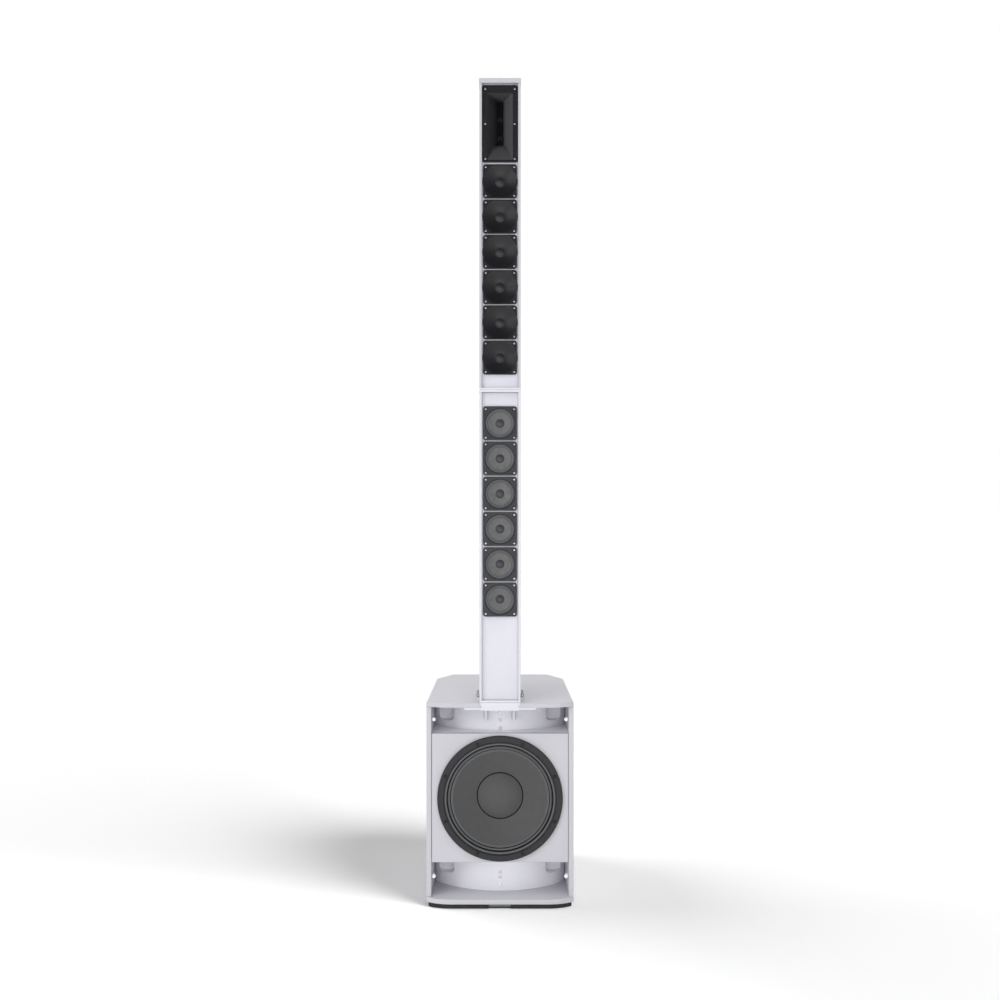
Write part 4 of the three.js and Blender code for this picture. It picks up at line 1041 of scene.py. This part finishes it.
def make_waveguides():
    """One round bowl with a dome is made at the origin, then copied to each place."""
    bowl_radius, dome_radius = BOWL_RADIUS, DOME_RADIUS
    bowl_depth = 19.5
    plate = front_plate("plate")
    disc = prism("disc", circle(DISC_RADIUS, steps=96), "y", PLATE_FRONT, PLATE_BACK)
    limit = block("limit", (-50, 50), (0, 30), (-PLATE_HALF, PLATE_HALF))
    combine(disc, [limit], "INTERSECT")
    rear = lathe("rear", [
        (0, 9), (41, 9), (41, 13), (38, 20), (30, 30), (28, 31), (28, 34), (30, 35),
        (30, 60), (28, 62), (0, 62),
    ], 0, 0, None, 64)
    fuse(plate, disc, rear)
    mouth = [(0, 5), (bowl_radius + 0.8, 5), (bowl_radius + 0.6, PLATE_FRONT - 0.4)]
    curve = [(
        bowl_radius - (bowl_radius - dome_radius) * share,
        bowl_depth - (bowl_depth - PLATE_FRONT) * (1 - share) ** 1.3,
    ) for share in shares(16)]
    bowl = lathe("bowl", mouth + curve + [(0, bowl_depth)], 0, 0, None, 96)
    window = block("window", (-50, 50), (0, 30), (-BOWL_CLIP, BOWL_CLIP))
    combine(bowl, [window], "INTERSECT")
    carve(plate, bowl)
    carve(plate, *sunk_holes(CORNER_SPOTS, SCREW_HOLE, PLATE_FRONT, 2.2))
    soften(plate, 0.9, "gloss_black", 3, 28)
    dome = [(dome_radius * share, bowl_depth - 4.65 + 4.6 * share ** 2) for share in shares(12)]
    under = [(dome_radius + 0.6, bowl_depth + 0.2), (0, bowl_depth + 0.6)]
    cap = lathe("cap", dome + under, 0, 0, "dome_black", 72)
    screws = screw_set("screws", CORNER_SPOTS, PLATE_FRONT + 0.5, 2.6, "screw_steel")
    for number in range(1, DRIVERS + 1):
        node = f"waveguide_driver_{number}"
        z = middle_z(node)
        add_piece(lifted(plate, f"waveguide_bowl_{number}", z), "upper_column", "gloss_black", node)
        add_piece(lifted(cap, f"waveguide_dome_{number}", z), "upper_column", "gloss_black")
        add_piece(lifted(screws, f"waveguide_screws_{number}", z), "upper_column", "dark_metal")
    for template in (plate, cap, screws):
        bpy.data.objects.remove(template)


# ---------------- horn
HORN_MOUTH = 6.9
THROAT_DEPTH = 51.7
THROAT_HALF, THROAT_LOW, THROAT_HIGH = 8.5, 1899, 2009
SIDE_FLARE, LOW_FLARE, HIGH_FLARE = 24.3, 50, 9.4  # how far the mouth reaches past the throat
EXIT_RADIUS = 7.2
HORN_SCREW_X, HORN_SCREW_ZS = 36.4, (2029, 1942.5, 1856)
TWEETERS = ("tweeter_upper", "tweeter_lower")


def horn_ring(depth, grow=0):
    """The horn's opening at a depth: its points run around a rounded rectangle."""
    open_share = 1 - (depth - HORN_MOUTH) / (THROAT_DEPTH - HORN_MOUTH)
    half = THROAT_HALF + SIDE_FLARE * open_share ** 1.1 + grow
    low = THROAT_LOW - LOW_FLARE * open_share ** 2.2 - grow
    high = THROAT_HIGH + HIGH_FLARE * open_share ** 1.8 + grow
    corner = 2.4 + 2.2 * open_share + grow
    outline = rectangle(half, (high - low) / 2, corner, (0, (high + low) / 2), 5)
    return [(x, depth, z) for x, z in outline]


def loft(name, rings):
    size = len(rings[0])
    points = [point for ring in rings for point in ring]
    faces = [tuple(range(size)), tuple(range(len(points) - size, len(points)))]
    for row in range(len(rings) - 1):
        for index in range(size):
            after = (index + 1) % size
            a, b = row * size, (row + 1) * size
            faces.append((a + index, a + after, b + after, b + index))
    return new_object(name, points, faces)


def moved_back(ring, distance):
    return [(x, depth + distance, z) for x, depth, z in ring]


def make_horn_linings():
    """A near-black sheet of painted shade at the back of the throat, and satin walls that have a light
    of their own.
    """
    back = THROAT_DEPTH
    xs = (-THROAT_HALF + 0.2, THROAT_HALF - 0.2)
    zs = (THROAT_LOW + 0.4, THROAT_HIGH - 0.4)
    # This sheet is painted shade: the back of the throat is dark only because little light reaches it.
    lining = block("horn_throat_shade", xs, (back - 0.5, back + 0.3), zs)
    carve(lining, *[
        prism("exit", circle(EXIT_RADIUS, (0, middle_z(node))), "y", back - 3, back + 3)
        for node in TWEETERS
    ])
    add_piece(finish_piece(lining, "throat_black"), "upper_column", "gloss_black")
    start = PLATE_FRONT + 1
    depths = [start + (THROAT_DEPTH - 1 - start) * share for share in shares(16)]
    walls = loft("horn_flare_lining", [horn_ring(depth, 0.1) for depth in depths])
    cutter = [horn_ring(depth, -0.35) for depth in depths]
    air = loft("air", [moved_back(cutter[0], -1), *cutter, moved_back(cutter[-1], 1)])
    carve(walls, air)
    add_piece(finish_piece(walls, "horn_satin"), "upper_column", "gloss_black")
    make_panel("horn_panel", (-1.46, -1.57, 1.42), (0, -0.25, 1.93), (0.6, 0.6), 74,
               receiver_collection("horn_only", walls, "INCLUDE"))


def make_horn():
    low, high = node_zs("horn")
    flange = front_plate("horn_body", (high - low) / 2, 44, 6, (low + high) / 2)
    depths = [HORN_MOUTH + (THROAT_DEPTH - HORN_MOUTH) * share for share in shares(18)]
    rings = [horn_ring(depth, 2.6) for depth in depths if depth > PLATE_FRONT + 1]
    skin = loft("skin", rings + [moved_back(rings[-1], 3)])
    combine(skin, [block("limit", (-43, 43), (0, 70), (low + 0.4, high - 0.4))], "INTERSECT")
    fuse(flange, skin)
    carve(flange, loft("air", [horn_ring(depth) for depth in depths]))
    back = THROAT_DEPTH
    exit_profile = [
        (0, back - 3), (EXIT_RADIUS, back - 3), (EXIT_RADIUS, back),
        (6, back + 1.2), (6, back + 9), (0, back + 9),
    ]
    carve(flange, *[
        lathe("exit", exit_profile, 0, middle_z(node), None, 40) for node in TWEETERS
    ])
    make_horn_linings()
    spots = [(sign * HORN_SCREW_X, z) for z in HORN_SCREW_ZS for _, sign in SIDES]
    carve(flange, *sunk_holes(spots, 3.4, PLATE_FRONT, 2.4))
    soften(flange, 1.0, "gloss_black", 4, 32)
    add_piece(flange, "upper_column", "gloss_black", "horn")
    screws = screw_set("horn_screws", spots, PLATE_FRONT + 0.7, 2.7, "screw_steel")
    add_piece(screws, "upper_column", "dark_metal")


def make_tweeters():
    """Two compression drivers behind the horn, each with a plug in its throat."""
    for node in TWEETERS:
        z = middle_z(node)
        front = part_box(node)[0].y / MM - FRONT
        unit = lathe(f"{node}_unit", fillet([
            (5.2, front), (20, front, 0.8), (20, front + 4), (22.5, front + 6, 1),
            (22.5, front + 24, 1.5), (20, front + 26, 1), (3, front + 26), (3, front + 20),
            (0.4, front + 20), (0.4, front + 7), (5.2, front + 7),
        ], 4), 0, z, "dark_metal", 64)
        add_piece(unit, "upper_column", "dark_metal", node)
        plug = lathe(f"{node}_plug", [
            (0, front - 0.6), (1.2, front - 0.2), (2.3, front + 1.4),
            (3, front + 4), (3.2, front + 7.6), (0, front + 7.6),
        ], 0, z, "black_plastic", 32)
        add_piece(plug, "upper_column", "black_plastic")


# ---------------- rear panel
# Rear pieces are built facing the front, then turned half round. Their depth is
# measured from the back of the cabinet and their x is seen from behind.
PLATE_FACE = 7.7
PRINT_DEPTHS = (PLATE_FACE - 0.12, PLATE_FACE + 0.1)
AMP_LOW, AMP_HIGH = (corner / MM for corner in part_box("amp_plate"))
AMP_SCREW_INSET = 6
AMP_SCREW_ROWS = 5
JACK_SEAT = 7.4
PIN_CIRCLE = 6.2
KNOBS = ("channel_knob_left", "channel_knob_right", "subwoofer_knob")
KNOB_RADIUS = 8.2
KNOB_FLUTES, FLUTE_DEPTH = 22, 0.32
KNOB_TRAVEL = 300
DIAL_TICKS = 11
LAMP_RADIUS = 1.7


def add_rear(obj, slot, *replaced, body=BODY):
    """A piece that was built facing the front, turned half round."""
    obj.data.transform(turn_about("Z", 180))
    return add_piece(obj, body, slot, *replaced)


def rear_spot(node):
    """The x seen from behind and the height of a CAD node's middle."""
    low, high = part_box(node)
    return -(low.x + high.x) / 2 / MM, (low.z + high.z) / 2 / MM


def make_amp_panel():
    cad_copy("amp_plate", "amp_panel", 0.5, "amp_metal")
    cad_copy("amp_heatsink", "amp_fins", 0.35, "amp_metal")
    cad_copy("amp_circuit_board", "amp_board", 0.4, "circuit_board")
    bottom, top = AMP_LOW.z + AMP_SCREW_INSET, AMP_HIGH.z - AMP_SCREW_INSET
    half = AMP_HIGH.x - AMP_SCREW_INSET
    rows = [bottom + (top - bottom) * share for share in shares(AMP_SCREW_ROWS - 1)]
    spots = [(x, z) for x in (-half, half) for z in rows]
    spots += [(x, z) for x in (-half / 3, half / 3) for z in (bottom, top)]
    add_rear(screw_set("amp_screws", spots, PLATE_FACE - 0.9, 3.1, "screw_black"), "dark_metal")
    lines = []
    for z, reach in ((371, 96), (315, 96), (201, 104)):
        lines.append(block("line", (-reach, reach), PRINT_DEPTHS, (z - 0.3, z + 0.3)))
    add_rear(joined("amp_lines", lines, "print_white"), "amp_metal")


def make_jacks():
    """Two combined sockets: a round shell with pin holes around a centre hole."""
    for side, _ in SIDES:
        node = f"input_jack_{side}"
        x, z = rear_spot(node)
        shell = prism(f"{node}_housing", rectangle(13, 15.5, 3, (x, z), 8), "y", 4.7, JACK_SEAT)
        cup = lathe("cup", [(0, 5.7), (12.2, 5.7), (12.2, 30), (0, 30)], x, z, None, 64)
        carve(fuse(shell, cup), lathe("socket", [
            (0, 0), (10.4, 0), (10.4, 5), (9.6, 6), (9.6, 27), (0, 27),
        ], x, z, None, 64))
        soften(shell, 0.5, "black_plastic", 3)
        add_rear(shell, "black_plastic", node)
        profile = [(0, 12), (9, 12, 0.6), (9, 26.5), (0, 26.5)]
        core = turned(f"{node}_core", profile, x, z, None, 56)
        holes = [lathe("hole", [(0, 5), (3.4, 5), (3.2, 12.6), (3.2, 24), (0, 24)], x, z, None, 32)]
        for degrees in (90, 210, 330):
            turn = math.radians(degrees)
            spot = (x + PIN_CIRCLE * math.cos(turn), z + PIN_CIRCLE * math.sin(turn))
            holes.append(prism("hole", circle(1.5, spot, 20), "y", 5, 24))
        finish_piece(carve(core, *holes), "control_plastic")
        add_rear(core, "black_plastic")
        ring = lathe(f"{node}_ring", fillet([
            (10.5, 5.4, 0.2), (10.5, 4.3, 0.4), (11.9, 4.3, 0.4), (11.9, 5.4, 0.2),
        ], 4), x, z, "screw_steel", 64)
        add_rear(ring, "dark_metal")
        tab = prism(f"{node}_release", fillet([
            (x - 3, z + 11.6, 0.6), (x + 3, z + 11.6, 0.6), (x + 3, z + 14.4, 1), (x - 3, z + 14.4, 1),
        ]), "y", 3.4, 5)
        add_rear(soften(tab, 0.4, "control_plastic"), "black_plastic")
        spots = [(x - 10, z - 12.6), (x + 10, z + 12.6)]
        add_rear(screw_set(f"{node}_screws", spots, 4.3, 1.7, "screw_black"), "dark_metal")


def dial_marks(name, x, z):
    """Printed ticks from one end of a knob's travel to the other; every fifth is longer."""
    ticks = []
    for number, share in enumerate(shares(DIAL_TICKS - 1)):
        end = 14.4 if number % 5 else 15.6
        tick = block("tick", (-0.35, 0.35), PRINT_DEPTHS, (12, end))
        tick.data.transform(shift(x, 0, z) @ turn_about("Y", KNOB_TRAVEL * (share - 0.5)))
        ticks.append(tick)
    add_rear(joined(name, ticks, "print_white"), "amp_metal")


def make_controls():
    """Fluted knobs with a pointer, their nuts and their printed scales."""
    for node in KNOBS:
        x, z = rear_spot(node)
        outline = []
        for share in shares(KNOB_FLUTES * 6)[:-1]:
            turn = 2 * math.pi * share
            radius = KNOB_RADIUS - FLUTE_DEPTH * max(0, math.cos(turn * KNOB_FLUTES))
            outline.append((x + radius * math.cos(turn), z + radius * math.sin(turn)))
        grip = prism(f"{node}_grip", outline, "y", 0.9, 6.4)
        profile = [(0, 5.4), (8.9, 5.4), (9, 6.9), (3, 6.9), (3, 19), (0, 19)]
        skirt = lathe("skirt", profile, x, z, None, 64)
        dish = lathe("dish", [(0, 0), (6.6, 0), (6.2, 1.3), (0, 1.5)], x, z, None, 64)
        carve(fuse(grip, skirt), dish)
        soften(grip, 0.35, "control_plastic", 3, 40, 40)
        add_rear(grip, "control_plastic", node, body=node)
        pointer = block(f"{node}_pointer", (x - 0.5, x + 0.5), (0.6, 2), (z + 2, z + 7.9))
        add_rear(soften(pointer, 0.12, "print_white", 2), "control_plastic", body=node)
        nut = prism(f"{node}_nut", circle(4.2, (x, z), 6), "y", 7.0, 7.65)
        add_rear(finish_piece(nut, "screw_steel"), "dark_metal")
        dial_marks(f"{node}_scale", x, z)


def make_lamps():
    """Three small domed lamps, each in a bezel."""
    turns = [math.pi / 2 * share for share in shares(8)]
    dome = [(LAMP_RADIUS * math.sin(turn), 7.3 - 1.5 * math.cos(turn)) for turn in turns]
    profile = dome + [(LAMP_RADIUS, 8.4), (0, 8.4)]
    ring = fillet([(1.8, 7.65), (1.8, 7.2, 0.15), (2.9, 7.2, 0.3), (3.1, 7.65)], 3)
    lamps = ((0, 404, "lamp_green"), (0, 392, "lamp_red"), (34, 168, "lamp_blue"))
    for number, (x, z, look) in enumerate(lamps, 1):
        lamp = lathe(f"status_lamp_{number}", profile, x, z, look, 28)
        add_rear(lamp, "control_plastic")
        bezel = lathe(f"status_bezel_{number}", ring, x, z, "screw_black", 36)
        add_rear(bezel, "dark_metal")


def add_bezel(name, spot, outer, opening, front):
    """A frame around an opening; both outlines are half width, half height and corner."""
    bezel = prism(name, rectangle(*outer, spot, 6), "y", front, PLATE_FACE - 0.05)
    carve(bezel, prism("opening", rectangle(*opening, spot, 3), "y", 5, 9))
    add_rear(soften(bezel, 0.5, "black_plastic"), "black_plastic")


def make_supply():
    """The mains inlet with its pins, and the power rocker in its bezel."""
    cad_copy("power_inlet", "inlet_housing", 0.6, "black_plastic")
    x, z = rear_spot("power_inlet")
    pins = []
    for px, pz in ((x - 7, z - 2), (x, z + 3), (x + 7, z - 2)):
        pins.append(block("pin", (px - 1.15, px + 1.15), (16.6, 30), (pz - 2.65, pz + 2.65)))
    pins = joined("inlet_pins", pins)
    add_rear(soften(pins, 0.35, "contact_brass"), "dark_metal")
    add_bezel("inlet_bezel", (x, z), (18.5, 14.5, 2.5), (15.4, 11.4, 1), 6.2)
    add_bezel("rocker_bezel", rear_spot("power_rocker"), (10.8, 16, 2), (8, 13.5, 0.6), 5.9)
    cad_copy("power_rocker", "rocker_key", 0.6, "control_plastic", "power_rocker")


# ---------------- side handles
HANDLE_AT, HANDLE_HEIGHT = 235, 330
HANDLE_HALF_LENGTH, HANDLE_HALF_HEIGHT = 66, 27
HANDLE_CORNER = 14
HANDLE_DEPTH = 44
HANDLE_FLANGE = 1.9
HANDLE_SKIN = 3
WALL_START, WALL_END = 22, 420
REAR_SIDE_HALF = 177.3
TAPER = (CABINET_HALF - REAR_SIDE_HALF) / (WALL_END - WALL_START)
HANDLE_SCREW_REACH, HANDLE_SCREW_RISE = 60, 31.2
GRIP_RIBS = 13
RIB_PITCH = 8


def wall_half(depth):
    """The outside of the side wall at a depth: the cabinet narrows towards its back."""
    return CABINET_HALF - (depth - WALL_START) * TAPER


def handle_block(margin, inner, outer):
    """The pocket's outline, grown by a margin, from one distance outside the wall to another."""
    shape = prism("handle_block", rectangle(
        HANDLE_HALF_LENGTH + margin, HANDLE_HALF_HEIGHT + margin, HANDLE_CORNER + margin, steps=9,
    ), "x", inner, outer)
    shape.data.transform(shift(0, -FRONT, 0))
    spot = place(wall_half(HANDLE_AT), HANDLE_AT, HANDLE_HEIGHT)
    shape.data.transform(Matrix.Translation(spot) @ Matrix.Rotation(math.atan(TAPER), 4, "Z"))
    return shape


def mirror_twin(obj, name):
    """A copy of an object, mirrored to the left side."""
    twin = lifted(obj, name, 0)
    twin.data.transform(Matrix.Scale(-1, 4, (1, 0, 0)))
    twin.data.flip_normals()
    return twin


def make_handles():
    """Moulded pockets with a rolled lip and grip ribs under the upper edge."""
    grip = handle_block(8, 0.3, HANDLE_FLANGE)
    grip.name = "right_handle_grip"
    fuse(grip, handle_block(HANDLE_SKIN, -HANDLE_DEPTH, 1))
    carve(grip, handle_block(0, -HANDLE_DEPTH + HANDLE_SKIN, 5))
    soften(grip, 0.9, "black_plastic", 4, 35)
    ribs = []
    top = HANDLE_HEIGHT + HANDLE_HALF_HEIGHT
    for number in range(GRIP_RIBS):
        y = HANDLE_AT + RIB_PITCH * (number - (GRIP_RIBS - 1) / 2)
        ribs.append(block("rib", (142, 172), (y - 1.1, y + 1.1), (top - 0.9, top + 0.6)))
    ribs = joined("right_handle_ribs", ribs)
    soften(ribs, 0.4, "black_plastic", 2)
    screws = []
    for depth in (HANDLE_AT - HANDLE_SCREW_REACH, HANDLE_AT + HANDLE_SCREW_REACH):
        for z in (HANDLE_HEIGHT - HANDLE_SCREW_RISE, HANDLE_HEIGHT + HANDLE_SCREW_RISE):
            head = screw(0, 0, 0, 1.9)
            spot = place(wall_half(depth) + HANDLE_FLANGE - 0.5, depth, z)
            head.data.transform(Matrix.Translation(spot) @ turn_about("Z", 90) @ shift(0, -FRONT, 0))
            screws.append(head)
    screws = joined("right_handle_screws", screws, "screw_black")
    right = (
        (grip, "black_plastic", "side_handle_right"),
        (ribs, "black_plastic"),
        (screws, "dark_metal"),
    )
    for piece, slot, *replaced in right:
        twin = mirror_twin(piece, piece.name.replace("right", "left"))
        add_piece(piece, BODY, slot, *replaced)
        add_piece(twin, BODY, slot, *[node.replace("right", "left") for node in replaced])


# ---------------- assembly
make_cabinet()
make_base()
make_baffle()
make_woofer_frame()
make_woofer_surround()
make_woofer_cone()
make_shroud("upper_port_moulding", "upper_port_shroud", True, UPPER_MOUTH, RIB_SLOTS)
make_shroud("lower_port_moulding", "lower_port_shroud", False, LOWER_MOUTH)
make_port_details()
make_dock()
make_latches()
for section in ("lower", "upper"):
    make_shell(section)
make_end_plates()
make_midranges()
make_waveguides()
make_horn()
make_tweeters()
make_amp_panel()
make_jacks()
make_controls()
make_lamps()
make_supply()
make_handles()
